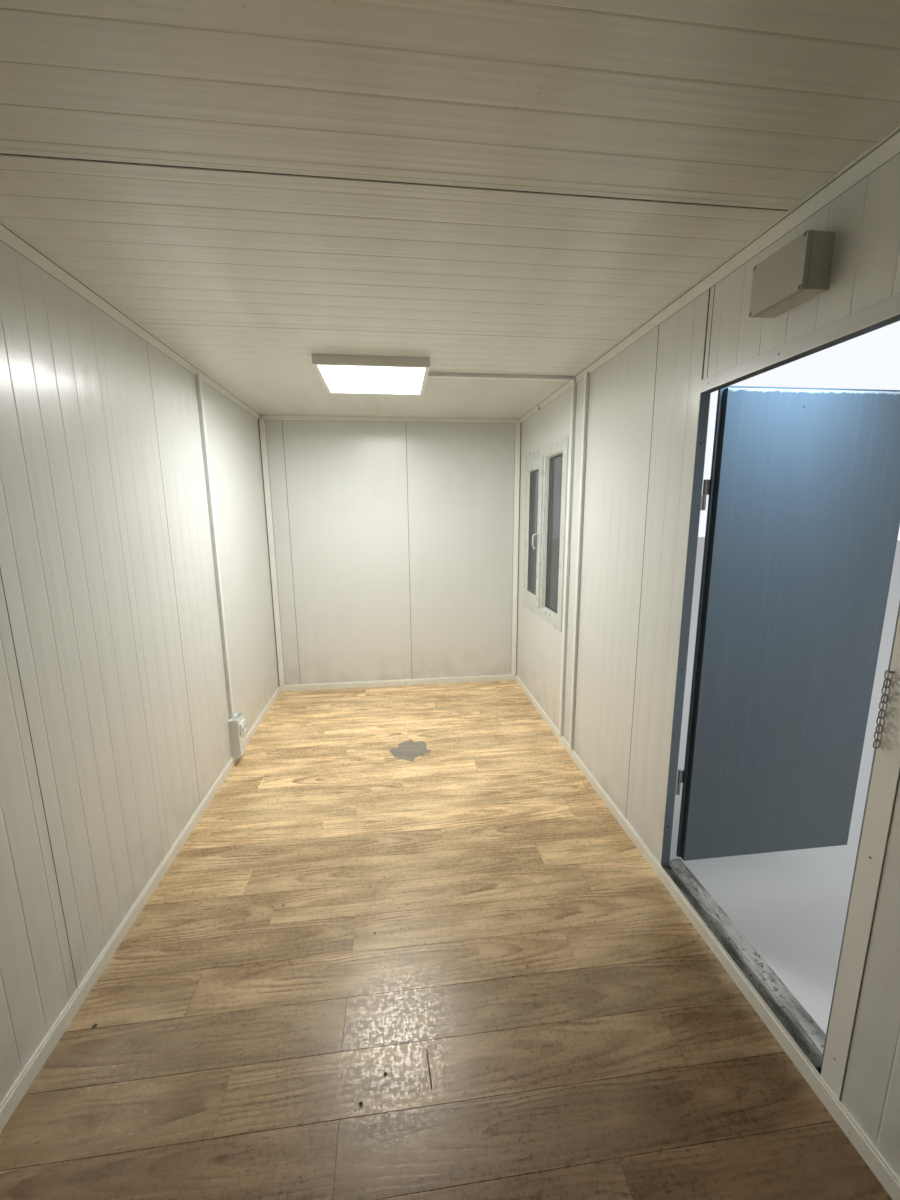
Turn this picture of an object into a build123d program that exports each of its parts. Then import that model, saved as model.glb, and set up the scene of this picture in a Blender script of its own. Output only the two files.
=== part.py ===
from build123d import *
import math
import os

# Portable site cabin, one room, all sizes in millimetres.
# X runs across the cabin, with the door and the window in the wall on the +X side.
# Y runs along it towards the far end wall, Z is up from the ground, and the origin
# is the middle of the base frame's underside.

# Overall envelope
outer_width = 2438
outer_length = 6058
outer_height = 2800

# Steel base frame
base_rail_height = 150
base_rail_flange = 110
base_steel = 4
corner_leg = 150
joist_flange = 50
under_sheet_thickness = 1.5
under_sheet_bearing = 41

# Fork pockets through the base frame
pocket_width = 352
pocket_steel = 5
pocket_lift = 20
pocket_headroom = 18
pocket_clearance = 4
pocket_gap_index = 2.5

# Corner castings
casting_wall = 14
top_casting_height = 110
casting_gap = 6
casting_slot_length = 110
casting_slot_width = 60
casting_side_slot_length = 90
casting_side_slot_width = 50

# Floor
board_thickness = 18
covering_thickness = 2
edge_gap = 1

# Wall and ceiling panels
panel_setback = 30.5
panel_thickness = 60
panel_joint_gap = 1
joint_chamfer = 2
rib_pitch = 100
rib_width = 3
rib_depth = 0.6
panel_module = 1000
first_ceiling_panel = 939
lapped_joint = 3
lap_width = 20
lap_gap = 3
right_first_joint = 248
far_wall_joints = (187, 1233)

# Roof frame and roof sheet
roof_rail_bottom_flange = 116
roof_steel = 4
gutter_width = 54
gutter_depth = 48
roof_ledge = 62
sheet_pitch = 206
sheet_rise = 35
sheet_crown = 60
sheet_slope = 25
sheet_thickness = 1.5

# Corner posts
post_steel = 3

# Room trims
skirting_height = 60
skirting_thickness = 10
skirting_lip = 6
skirting_step = 3
crown_drop = 58
crown_reach = 38
crown_thickness = 2
crown_lip = 14
crown_joint_from_far = 575
corner_trim_leg = 40
corner_trim_thickness = 2

# Doorway: places along the wall are measured from the far end wall
door_far_stop = 2576
door_clear_width = 786.5
strip_return = 24
over_door_depth = 394
lining_steel = 2
stop_depth = 35
near_bump_start = 22.5
frame_flange = 58
frame_gap = 5
side_gap = 5
head_gap = 6
cover_strip_width = 56
head_trim_height = 45
cover_strip_thickness = 3
filler_width = 26
filler_setback = 2

# Threshold
sill_height = 56
sill_overhang = 21
sill_groove_width = 4
sill_groove_depth = 2.5
sill_groove_pitch = 11
sill_grooves = 5

# Door leaf
leaf_rebate = 13
leaf_rebate_thickness = 13
leaf_floor_gap = 7
leaf_stop_overlap = 27.5
leaf_near_overlap = 14
leaf_head_overlap = 23

# Outside door handle, its height above the room floor
door_handle_height = 1010
door_handle_backset = 45
door_plate_width = 38
door_plate_height = 210
door_plate_thickness = 4
door_lever_reach = 42
door_lever_length = 118
door_lever_radius = 8
door_lever_bend = 14
lock_radius = 9
lock_drop = 72
strike_height = 96
strike_width = 14

# Hinges: centre heights above the room floor
hinge_heights = (430, 1690)
hinge_length = 120
hinge_knuckle_radius = 8
hinge_pin_radius = 4
hinge_pin_clearance = 0.1
hinge_knuckle_gap = 1
hinge_outset = 8
hinge_beyond_edge = 26
hinge_plate = 3
hinge_plate_length = 34

# Window: places along the wall are measured from the far end wall
window_panel_from_far = 196
window_far_margin = 22
window_near_margin = 28
window_sill_height = 798
window_height = 1324
window_frame_face = 80
window_mullion_from_far = 745
window_mullion = 60
window_proud_inside = 8
window_proud_outside = 5
sash_overlap = 10
sash_face = 90
sash_proud = 10
sash_tuck = 40
sash_clearance = 3
bead_width = 18
bead_depth = 20
bead_splay = 10
profile_chamfer = 3
pane_thickness = 24
pane_setback = 27
drip_reach = 24
drip_height = 34
drip_slope = 10

# Window handle
handle_plate_width = 26
handle_plate_height = 66
handle_plate_thickness = 6
handle_reach = 46
handle_bend = 28
handle_grip_length = 120
handle_tip_length = 36
handle_tip_lean = 16
handle_grip_width = 18
handle_grip_thickness = 11
handle_grip_round = 4

# Ceiling lamp
lamp_size = 620
lamp_depth = 48
lamp_left_edge = 702
lamp_from_far = 977.5
lamp_wall = 8
lamp_lip = 22
lamp_lip_thickness = 2
lamp_panel_thickness = 10

# Cable trunking
trunk_depth = 20
trunk_width = 40
narrow_trunk_width = 30
trunk_past_window = 67
trunk_spacing = 205

# Socket box on the left wall, standing on the skirting, and the trunking above it
socket_box_from_far = 1199
socket_box_width = 126
socket_box_depth = 60
socket_box_height = 254
socket_box_wall = 3
socket_box_well = 40
left_trunk_inset = 56
socket_plate = 86
socket_plate_thickness = 10
socket_plate_drop = 36
socket_collar_radius = 26
socket_collar = 10
socket_radius = 20
socket_recess = 17

# Junction box over the door
junction_past_stop = 318.5
junction_drop = 123
junction_width = 186
junction_height = 136
junction_depth = 78
junction_lid = 14
junction_round = 3
lid_screw_inset = 6
lid_screw_well = 6
lid_well_depth = 7
lid_screw_radius = 3.5
lid_screw_sink = 3

# Door chain
chain_beyond_edge = 7.5
chain_top = 1246
chain_links = 10
chain_wire = 3
chain_link_length = 25.5
chain_link_width = 19
chain_slack = 0.25
chain_screw_radius = 2.5
chain_screw_head_radius = 4.5
chain_screw_head = 3

# Sizes worked out from the values above
half_width = outer_width / 2
half_length = outer_length / 2
wall_zone = panel_setback + panel_thickness
room_half_width = half_width - wall_zone
room_half_length = half_length - wall_zone
panel_outer_x = half_width - panel_setback
panel_outer_y = half_length - panel_setback
floor_z = base_rail_height + board_thickness + covering_thickness
post_top_z = outer_height - top_casting_height
ceiling_z = post_top_z - casting_gap - panel_thickness
wall_top_z = ceiling_z - roof_steel
rail_end_x = half_width - corner_leg
rail_end_y = half_length - corner_leg
pocket_height = base_rail_height - pocket_lift - 2 * pocket_steel - pocket_headroom
joist_pitch = pocket_width + 2 * pocket_steel + joist_flange + 2 * pocket_clearance
joists_each_side = int((rail_end_y - joist_flange) // joist_pitch)
pocket_y = pocket_gap_index * joist_pitch
window_from_far = window_panel_from_far + window_far_margin
window_width = right_first_joint + panel_module - window_near_margin - window_from_far
door_near_stop = door_far_stop + door_clear_width
door_strip_edge = door_near_stop + strip_return
door_head_z = ceiling_z - over_door_depth
lighting_trunk_from_far = window_from_far + window_width + trunk_past_window
narrow_trunk_from_far = lighting_trunk_from_far + trunk_spacing


def block(x0, x1, y0, y1, z0, z1):
    centre = Pos((x0 + x1) / 2, (y0 + y1) / 2, (z0 + z1) / 2)
    return centre * Box(x1 - x0, y1 - y0, z1 - z0)


def plan_prism(points, z0, z1):
    face = make_face(Polyline(*points, close=True))
    return extrude(Pos(0, 0, z0) * face, amount=z1 - z0)


# A cross-section drawn as (y, z), run along X
def cross_prism(points, x0, x1):
    plane = Plane(origin=(x0, 0, 0), x_dir=(0, 1, 0), z_dir=(1, 0, 0))
    face = make_face(Polyline(*points, close=True))
    return extrude(plane * face, amount=x1 - x0)


# A cross-section drawn as (x, z), run along Y
def long_prism(points, y0, y1):
    plane = Plane(origin=(0, y1, 0), x_dir=(1, 0, 0), z_dir=(0, -1, 0))
    face = make_face(Polyline(*points, close=True))
    return extrude(plane * face, amount=y1 - y0)


# Outline of a folded strip of sheet metal with square mitred bends
def folded_strip(path, thickness):
    steps = [Vector(*b) - Vector(*a) for a, b in zip(path, path[1:])]
    normals = [Vector(-step.Y, step.X).normalized() for step in steps]
    before = [normals[0]] + normals
    after = normals + [normals[-1]]
    one_side = []
    other_side = []
    for point, first, second in zip(path, before, after):
        mitre = (first + second) * (thickness / 2 / (1 + first.dot(second)))
        one_side.append((point[0] + mitre.X, point[1] + mitre.Y))
        other_side.append((point[0] - mitre.X, point[1] - mitre.Y))
    return one_side + other_side[::-1]


def both_sides(shape):
    return [shape, mirror(shape, about=Plane.YZ)]


def both_ends(shape):
    return [shape, mirror(shape, about=Plane.XZ)]


def four_corners(shape):
    return [copy for side in both_sides(shape) for copy in both_ends(side)]


def from_far(distance):
    return room_half_length - distance


def save(name, *shapes):
    export_step(Compound(children=list(shapes)), f"parts/{name}.step")


# A folded C rail with its open side turned to the middle of the cabin
def base_rail_path(outer_face):
    web = outer_face - base_steel / 2
    tip = outer_face - base_rail_flange
    low = base_steel / 2
    high = base_rail_height - base_steel / 2
    return [(tip, low), (web, low), (web, high), (tip, high)]


def make_base_rails():
    section = folded_strip(base_rail_path(half_width), base_steel)
    side_rail = long_prism(section, -rail_end_y, rail_end_y)
    pocket_half = pocket_width / 2 + pocket_steel
    for centre in (-pocket_y, pocket_y):
        side_rail -= block(half_width - 2 * base_steel, half_width + base_steel,
                           centre - pocket_half, centre + pocket_half,
                           pocket_lift, pocket_lift + pocket_height + 2 * pocket_steel)
    save("base_side_rails", *both_sides(side_rail))
    section = folded_strip(base_rail_path(half_length), base_steel)
    end_rail = cross_prism(section, -rail_end_x, rail_end_x)
    save("base_end_rails", *both_ends(end_rail))


def joist_places():
    return [index * joist_pitch for index in range(-joists_each_side, joists_each_side + 1)]


def make_floor_joists():
    tip = half_width - base_rail_flange
    joists = []
    for place in joist_places():
        web = place - (joist_flange - base_steel) / 2
        edge = place + joist_flange / 2
        low = base_steel / 2
        high = base_rail_height - base_steel / 2
        section = folded_strip([(edge, low), (web, low), (web, high), (edge, high)], base_steel)
        joists.append(cross_prism(section, -tip, tip))
    save("floor_joists", *joists)


def make_fork_pockets():
    outside = Rectangle(pocket_width + 2 * pocket_steel, pocket_height + 2 * pocket_steel)
    inside = Rectangle(pocket_width, pocket_height)
    middle_z = pocket_lift + pocket_steel + pocket_height / 2
    plane = Plane(origin=(-half_width, pocket_y, middle_z), x_dir=(0, 1, 0), z_dir=(1, 0, 0))
    tube = extrude(plane * (outside - inside), amount=outer_width)
    save("fork_pockets", *both_ends(tube))


# Flat sheets that close the underside, lying on the lower flanges bay by bay
def make_under_floor_sheets():
    reach = half_width - base_rail_flange + under_sheet_bearing
    low = base_steel
    high = base_steel + under_sheet_thickness
    places = joist_places()
    web_back = joist_flange / 2
    web_front = web_back - base_steel
    far_edge = half_length - base_rail_flange + under_sheet_bearing
    sheets = [block(-reach, reach, first - web_front, second - web_back, low, high)
              for first, second in zip(places, places[1:])]
    sheets.append(block(-rail_end_x, rail_end_x, places[-1] - web_front, far_edge, low, high))
    sheets.append(block(-rail_end_x, rail_end_x, -far_edge, places[0] - web_back, low, high))
    save("under_floor_sheets", *sheets)


def casting(height, hole_face_z):
    body = block(half_width - corner_leg, half_width, half_length - corner_leg, half_length,
                 0, height)
    body -= block(half_width - corner_leg + casting_wall, half_width - casting_wall,
                  half_length - corner_leg + casting_wall, half_length - casting_wall,
                  casting_wall, height - casting_wall)
    middle_x = half_width - corner_leg / 2
    middle_y = half_length - corner_leg / 2
    flat_slot = SlotOverall(casting_slot_length, casting_slot_width)
    side_slot = SlotOverall(casting_side_slot_length, casting_side_slot_width)
    lift = Plane(origin=(middle_x, middle_y, hole_face_z), x_dir=(0, 1, 0), z_dir=(0, 0, 1))
    body -= extrude(lift * flat_slot, amount=casting_wall, both=True)
    side = Plane(origin=(half_width, middle_y, height / 2), x_dir=(0, 1, 0), z_dir=(1, 0, 0))
    body -= extrude(side * side_slot, amount=casting_wall, both=True)
    end = Plane(origin=(middle_x, half_length, height / 2), x_dir=(1, 0, 0), z_dir=(0, 1, 0))
    body -= extrude(end * side_slot, amount=casting_wall, both=True)
    return body


def make_corner_castings():
    save("bottom_corner_castings", *four_corners(casting(base_rail_height, 0)))
    top = Pos(0, 0, post_top_z) * casting(top_casting_height, top_casting_height)
    save("top_corner_castings", *four_corners(top))


# A closed folded post: outer legs over the panels and a square core between their ends
def make_corner_posts():
    outline = [(half_width, half_length), (half_width, rail_end_y), (panel_outer_x, rail_end_y),
               (panel_outer_x, room_half_length), (room_half_width, room_half_length),
               (room_half_width, panel_outer_y), (rail_end_x, panel_outer_y),
               (rail_end_x, half_length)]
    face = make_face(Polyline(*outline, close=True))
    hollow = offset(face, amount=-post_steel, kind=Kind.INTERSECTION)
    post = extrude(Pos(0, 0, base_rail_height) * (face - hollow),
                   amount=post_top_z - base_rail_height)
    save("corner_posts", *four_corners(post))


def make_floor():
    reach_x = room_half_width - edge_gap
    reach_y = room_half_length - edge_gap
    board_top = base_rail_height + board_thickness
    save("floor_board", block(-reach_x, reach_x, -reach_y, reach_y, base_rail_height, board_top))
    save("floor_covering", block(-reach_x, reach_x, -reach_y, reach_y, board_top, floor_z))


# Plan outline of a sandwich panel: u along the wall and v outwards from the room face.
# Both skins carry V grooves, the room edges are chamfered, and either end can be stepped
# back behind the depth where the door frame passes. A lapped start has a wider gap and
# one more groove close to its edge.
def panel_outline(start, end, start_step=0, end_step=0, lap=0):
    low = start + panel_joint_gap / 2 + (lap_gap if lap else 0)
    high = end - panel_joint_gap / 2
    count = math.ceil((high - low) / rib_pitch) - 1
    grooves = [low + rib_pitch * (index + 0.5) for index in range(count)]
    grooves = [place for place in grooves if place < high - rib_width - joint_chamfer]
    if lap:
        grooves.insert(0, low + lap)
    points = [(low, joint_chamfer), (low + joint_chamfer, 0)]
    for place in grooves:
        points += [(place - rib_width / 2, 0), (place, rib_depth), (place + rib_width / 2, 0)]
    points += [(high - joint_chamfer, 0), (high, joint_chamfer)]
    if end_step:
        points += [(high, stop_depth), (high + end_step, stop_depth)]
        high += end_step
    points.append((high, panel_thickness))
    for place in reversed(grooves):
        points += [(place + rib_width / 2, panel_thickness),
                   (place, panel_thickness - rib_depth),
                   (place - rib_width / 2, panel_thickness)]
    if start_step:
        points += [(low + start_step, panel_thickness), (low + start_step, stop_depth),
                   (low, stop_depth)]
    else:
        points.append((low, panel_thickness))
    return points


def standing_panel(wall_plane, outline, z0, z1):
    face = make_face(Polyline(*outline, close=True))
    return extrude(wall_plane * Pos(0, 0, z0) * face, amount=z1 - z0)


def panel_row(wall_plane, joints):
    return [standing_panel(wall_plane, panel_outline(start, end), base_rail_height, wall_top_z)
            for start, end in zip(joints, joints[1:])]


left_wall_plane = Plane(origin=(-room_half_width, -room_half_length, 0),
                        x_dir=(0, 1, 0), z_dir=(0, 0, 1))
right_wall_plane = Plane(origin=(room_half_width, room_half_length, 0),
                         x_dir=(0, -1, 0), z_dir=(0, 0, 1))
far_wall_plane = Plane(origin=(-room_half_width, room_half_length, 0),
                       x_dir=(1, 0, 0), z_dir=(0, 0, 1))
near_wall_plane = Plane(origin=(room_half_width, -room_half_length, 0),
                        x_dir=(-1, 0, 0), z_dir=(0, 0, 1))


def make_plain_walls():
    room_width = 2 * room_half_width
    room_length = 2 * room_half_length
    far_joints = [0, *far_wall_joints, room_width]
    save("far_end_wall", *panel_row(far_wall_plane, far_joints))
    near_joints = [0, *[room_width - joint for joint in reversed(far_wall_joints)], room_width]
    save("near_end_wall", *panel_row(near_wall_plane, near_joints))
    whole = int((room_length - right_first_joint) // panel_module)
    from_end = [right_first_joint + index * panel_module for index in range(whole + 1)]
    left_joints = [0, *[room_length - joint for joint in reversed(from_end)], room_length]
    save("left_wall", *panel_row(left_wall_plane, left_joints))


def make_right_wall():
    room_length = 2 * room_half_length
    bottom = base_rail_height
    second = right_first_joint + panel_module
    third = second + panel_module
    far_pieces = panel_row(right_wall_plane, [0, window_panel_from_far])
    far_pieces += panel_row(right_wall_plane, [second, third])
    far_edge = door_far_stop - lining_steel + panel_joint_gap / 2
    outline = panel_outline(third, far_edge, end_step=-leaf_far_rebate)
    far_pieces.append(standing_panel(right_wall_plane, outline, bottom, wall_top_z))
    save("right_wall_far_panels", *far_pieces)

    window_panel = panel_row(right_wall_plane, [window_panel_from_far, second])[0]
    window_panel -= window_block(0)
    save("window_panel", window_panel)

    near_edge = door_strip_edge + lining_steel - panel_joint_gap / 2
    whole = int((room_length - near_edge) // panel_module)
    joints = [near_edge + (index + 1) * panel_module for index in range(whole)]
    joints.append(room_length)
    near_step = door_near_rebate + lining_steel - near_edge - panel_joint_gap / 2
    outline = panel_outline(near_edge, joints[0], start_step=near_step)
    near_pieces = [standing_panel(right_wall_plane, outline, bottom, wall_top_z)]
    near_pieces += panel_row(right_wall_plane, joints)
    save("right_wall_near_panels", *near_pieces)

    head_z = door_head_z + lining_steel
    start = door_far_stop + filler_width + filler_setback
    end = door_near_rebate - filler_width
    over = standing_panel(right_wall_plane, panel_outline(start, end), head_z, wall_top_z)
    rebate_z = door_rebate_z + lining_steel
    notch = block(room_half_width + stop_depth, half_width, from_far(door_near_rebate),
                  from_far(door_far_stop), head_z, rebate_z)
    save("over_door_panel", over - notch)
    fillers = []
    for low, high in ((door_far_stop + filler_setback, start), (end, door_near_rebate)):
        filler = block(room_half_width + filler_setback, panel_outer_x, from_far(high) + edge_gap / 2,
                       from_far(low) - edge_gap / 2, head_z, wall_top_z)
        fillers.append(filler - notch)
    save("over_door_fillers", *fillers)


# The plan places of the door leaf, closed, and of the steel frame round it
stop_x = room_half_width + stop_depth + lining_steel
leaf_inner_x = stop_x + frame_gap
leaf_rebate_x = panel_outer_x + lining_steel + frame_gap
leaf_outer_x = leaf_rebate_x + leaf_rebate_thickness
leaf_far_y = from_far(door_far_stop) + leaf_stop_overlap
leaf_width = door_clear_width + leaf_stop_overlap + leaf_near_overlap
leaf_near_y = leaf_far_y - leaf_width
leaf_far_rebate = leaf_stop_overlap + side_gap
door_near_rebate = door_far_stop - leaf_far_rebate + leaf_width + side_gap * 2
leaf_bottom_z = floor_z + sill_height + leaf_floor_gap
leaf_top_z = door_head_z + leaf_head_overlap
door_rebate_z = leaf_top_z + head_gap
hinge_x = leaf_outer_x + hinge_outset
hinge_y = leaf_far_y + hinge_beyond_edge


def make_door_frame():
    half = lining_steel / 2
    room_x = room_half_width
    stop_line = stop_x - half
    flange_line = panel_outer_x + half
    head_z = door_head_z
    frame_top = door_rebate_z + frame_flange
    far_stop = from_far(door_far_stop) + half
    far_rebate = from_far(door_far_stop) + leaf_far_rebate + half
    near_edge = from_far(door_strip_edge) - half
    near_stop = from_far(door_near_stop) - half
    near_rebate = from_far(door_near_rebate) - half
    bump_line = room_x + near_bump_start
    far_jamb = folded_strip([(room_x, far_stop), (stop_line, far_stop), (stop_line, far_rebate),
                             (flange_line, far_rebate), (flange_line, far_rebate + frame_flange)],
                            lining_steel)
    near_jamb = folded_strip([(room_x, near_edge), (bump_line, near_edge), (bump_line, near_stop),
                              (stop_line, near_stop), (stop_line, near_rebate),
                              (flange_line, near_rebate),
                              (flange_line, near_rebate - frame_flange)], lining_steel)
    frame = plan_prism(far_jamb, base_rail_height, frame_top)
    frame += plan_prism(near_jamb, base_rail_height, frame_top)
    low_y = near_edge - frame_flange
    high_y = far_rebate + frame_flange
    frame -= block(room_x - half, room_x + stop_depth, low_y, high_y, head_z, frame_top)
    frame -= block(room_x - half, panel_outer_x, low_y, high_y, door_rebate_z, frame_top)
    head = folded_strip([(room_x, head_z + half), (stop_line, head_z + half),
                         (stop_line, door_rebate_z + half), (flange_line, door_rebate_z + half),
                         (flange_line, frame_top)], lining_steel)
    head_piece = long_prism(head, near_rebate - half, far_rebate + half)
    head_piece -= block(room_x - half, room_x + stop_depth, far_stop + half, high_y,
                        head_z, frame_top)
    strike_x = (leaf_inner_x + leaf_rebate_x - strike_width) / 2
    strike_z = floor_z + door_handle_height - strike_height / 2
    strike = block(strike_x, strike_x + strike_width, near_rebate - lining_steel,
                   near_rebate + lining_steel, strike_z, strike_z + strike_height)
    save("door_frame", frame + head_piece - strike)


def make_door_trim():
    back = room_half_width
    front = back - cover_strip_thickness
    edge = from_far(door_strip_edge)
    top_z = door_head_z + head_trim_height
    bottom_z = floor_z + skirting_height
    trim = block(front, back, edge - cover_strip_width, edge, bottom_z, top_z)
    trim += block(front, back, edge, from_far(door_far_stop), door_head_z, top_z)
    save("door_trim", trim)


def make_threshold():
    top = floor_z + sill_height
    near_stop = from_far(door_near_stop)
    far_stop = from_far(door_far_stop)
    outer_x = half_width + sill_overhang
    sill = block(room_half_width, stop_x, near_stop, far_stop, base_rail_height, top)
    sill += block(stop_x, outer_x, from_far(door_near_rebate), far_stop + leaf_far_rebate,
                  base_rail_height, top)
    for index in range(sill_grooves):
        groove_x = room_half_width + sill_groove_pitch * (index + 0.5)
        sill -= block(groove_x, groove_x + sill_groove_width, near_stop - corner_leg,
                      far_stop + corner_leg, top - sill_groove_depth, top)
    save("door_threshold", sill)


def open_pose(shape):
    return Pos(hinge_x, hinge_y, 0) * Rot(0, 0, 90) * Pos(-hinge_x, -hinge_y, 0) * shape


def make_door_leaf():
    leaf = block(leaf_inner_x, leaf_rebate_x, leaf_near_y, leaf_far_y, leaf_bottom_z, leaf_top_z)
    leaf += block(leaf_rebate_x, leaf_outer_x, leaf_near_y - leaf_rebate,
                  leaf_far_y + leaf_rebate, leaf_bottom_z, leaf_top_z + leaf_rebate)
    save("door_leaf", open_pose(leaf))


# Lever on a plate on the outer face, with the lock cylinder under it
def make_door_handle():
    y = leaf_near_y + door_handle_backset
    z = floor_z + door_handle_height
    plate_x = leaf_outer_x + door_plate_thickness
    plate = block(leaf_outer_x, plate_x, y - door_plate_width / 2, y + door_plate_width / 2,
                  z - door_plate_height / 2 - lock_drop / 2, z + door_plate_height / 2 - lock_drop / 2)
    lever_x = plate_x + door_lever_reach
    path = FilletPolyline((plate_x, y, z), (lever_x, y, z), (lever_x, y + door_lever_length, z),
                          radius=door_lever_bend)
    start = Plane(origin=(plate_x, y, z), x_dir=(0, 1, 0), z_dir=(1, 0, 0))
    lever = sweep(start * Circle(door_lever_radius), path=path)
    lock_plane = Plane(origin=(plate_x, y, z - lock_drop), x_dir=(0, 1, 0), z_dir=(1, 0, 0))
    lock = extrude(lock_plane * Circle(lock_radius), amount=door_plate_thickness)
    save("door_handle", open_pose(plate + lever + lock))


def make_hinges():
    fixed_halves = []
    leaf_halves = []
    half_length_each = (hinge_length - hinge_knuckle_gap) / 2
    plate_x = panel_outer_x + lining_steel
    for height in hinge_heights:
        middle = floor_z + height
        low = middle - hinge_length / 2
        high = middle + hinge_length / 2
        split = low + half_length_each
        knuckle = Pos(hinge_x, hinge_y, low) * extrude(Circle(hinge_knuckle_radius), half_length_each)
        pin = Pos(hinge_x, hinge_y, low) * extrude(Circle(hinge_pin_radius), hinge_length)
        arm = block(plate_x, hinge_x, hinge_y - hinge_plate, hinge_y + hinge_plate, low, split)
        plate = block(plate_x, plate_x + hinge_plate, hinge_y - hinge_plate,
                      hinge_y + hinge_plate_length, low, split)
        fixed_halves.append(knuckle + pin + arm + plate)
        bore = Pos(hinge_x, hinge_y, low) * extrude(
            Circle(hinge_pin_radius + hinge_pin_clearance), hinge_length)
        upper = Pos(hinge_x, hinge_y, high - half_length_each) * extrude(
            Circle(hinge_knuckle_radius), half_length_each)
        tongue = block(leaf_outer_x, leaf_outer_x + hinge_plate,
                       leaf_far_y + leaf_rebate - hinge_plate_length,
                       hinge_y - hinge_plate, high - half_length_each, high)
        leaf_halves.append(open_pose((upper + tongue) - bore))
    save("hinge_frame_halves", *fixed_halves)
    save("hinge_leaf_halves", *leaf_halves)


def window_block(margin):
    far = from_far(window_from_far) + margin
    near = from_far(window_from_far + window_width) - margin
    low = floor_z + window_sill_height - margin
    high = low + window_height + 2 * margin
    return block(room_half_width - panel_thickness, half_width, near, far, low, high)


# A rectangular opening that widens towards the room, cut from near_x back to far_x
def splayed_opening(near_x, far_x, near_y, far_y, low, high, splay):
    centre_y = (near_y + far_y) / 2
    centre_z = (low + high) / 2
    width = far_y - near_y
    height = high - low
    mouth = Plane(origin=(near_x, centre_y, centre_z), x_dir=(0, 1, 0), z_dir=(1, 0, 0))
    throat = Plane(origin=(far_x, centre_y, centre_z), x_dir=(0, 1, 0), z_dir=(1, 0, 0))
    return loft([mouth * Rectangle(width + 2 * splay, height + 2 * splay),
                 throat * Rectangle(width, height)])


def chamfered_front(shape):
    front_edges = shape.faces().sort_by(Axis.X)[0].edges()
    return chamfer(front_edges, profile_chamfer)


def make_window():
    far = from_far(window_from_far)
    near = far - window_width
    low = floor_z + window_sill_height
    high = low + window_height
    front = room_half_width - window_proud_inside
    back = panel_outer_x + window_proud_outside
    middle = from_far(window_mullion_from_far)
    light_low = low + window_frame_face
    light_high = high - window_frame_face
    fixed_near = near + window_frame_face
    fixed_far = middle - window_mullion / 2
    sash_near = middle + window_mullion / 2
    sash_far = far - window_frame_face
    frame = chamfered_front(block(front, back, near, far, low, high))
    frame -= block(front, back, fixed_near, fixed_far, light_low, light_high)
    frame -= block(front, back, sash_near, sash_far, light_low, light_high)
    pane_front = front + pane_setback
    bead = block(pane_front - bead_depth, pane_front, fixed_near, fixed_far, light_low, light_high)
    bead -= splayed_opening(pane_front - bead_depth, pane_front, fixed_near + bead_width,
                            fixed_far - bead_width, light_low + bead_width,
                            light_high - bead_width, bead_splay)
    drip = long_prism([(back, low), (back + drip_reach, low),
                       (back + drip_reach, low + drip_height - drip_slope),
                       (back, low + drip_height)], near, far)
    save("window_frame", frame + bead + drip)

    sash = chamfered_front(block(front - sash_proud, front, sash_near - sash_overlap,
                                 sash_far + sash_overlap, light_low - sash_overlap,
                                 light_high + sash_overlap))
    sash += block(front, front + sash_tuck, sash_near + sash_clearance, sash_far - sash_clearance,
                  light_low + sash_clearance, light_high - sash_clearance)
    glass_near = sash_near - sash_overlap + sash_face
    glass_far = sash_far + sash_overlap - sash_face
    glass_low = light_low - sash_overlap + sash_face
    glass_high = light_high + sash_overlap - sash_face
    sash -= block(front, front + sash_tuck, glass_near, glass_far, glass_low, glass_high)
    sash -= splayed_opening(front - sash_proud, front, glass_near, glass_far,
                            glass_low, glass_high, bead_splay)
    save("window_sash", sash)

    fixed_pane = block(pane_front, pane_front + pane_thickness, fixed_near, fixed_far,
                       light_low, light_high)
    sash_pane = block(front, front + pane_thickness, glass_near, glass_far, glass_low, glass_high)
    save("window_panes", fixed_pane, sash_pane)

    stile_y = sash_near - sash_overlap + sash_face / 2
    mid_z = (low + high) / 2
    face_x = front - sash_proud
    plate = block(face_x - handle_plate_thickness, face_x, stile_y - handle_plate_width / 2,
                  stile_y + handle_plate_width / 2, mid_z - handle_plate_height / 2,
                  mid_z + handle_plate_height / 2)
    grip_x = face_x - handle_reach
    path = FilletPolyline((face_x, stile_y, mid_z), (grip_x, stile_y, mid_z),
                          (grip_x, stile_y, mid_z + handle_tip_length - handle_grip_length),
                          (grip_x + handle_tip_lean, stile_y, mid_z - handle_grip_length),
                          radius=handle_bend)
    neck = Plane(origin=(face_x, stile_y, mid_z), x_dir=(0, 1, 0), z_dir=(-1, 0, 0))
    section = neck * RectangleRounded(handle_grip_width, handle_grip_thickness, handle_grip_round)
    save("window_handle", plate + sweep(section, path=path))


# Profiles of the trims, drawn from the wall face: s away from the wall, z up
def skirting_section():
    step_z = skirting_height - skirting_lip
    return [(0, 0), (skirting_thickness, 0), (skirting_thickness, step_z - skirting_step),
            (skirting_thickness - skirting_step, step_z),
            (skirting_thickness - skirting_step, skirting_height), (0, skirting_height)]


# A folded strip that leans across the corner, with a return behind each edge
def crown_section():
    half = crown_thickness / 2
    ceiling_turn = math.atan2(crown_drop, crown_reach) / 2
    wall_turn = math.atan2(crown_reach, crown_drop) / 2
    upper = (crown_reach - half / math.tan(ceiling_turn), -half)
    lower = (half, half / math.tan(wall_turn) - crown_drop)
    path = [(upper[0] - crown_lip, -half), upper, lower, (half, lower[1] + crown_lip)]
    return folded_strip(path, crown_thickness)


def side_trim(section, base_z, reach_y):
    points = [(room_half_width - s, base_z + z) for s, z in section]
    return long_prism(points, -reach_y, reach_y)


def end_trim(section, base_z, reach_x):
    points = [(room_half_length - s, base_z + z) for s, z in section]
    return cross_prism(points, -reach_x, reach_x)


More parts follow.
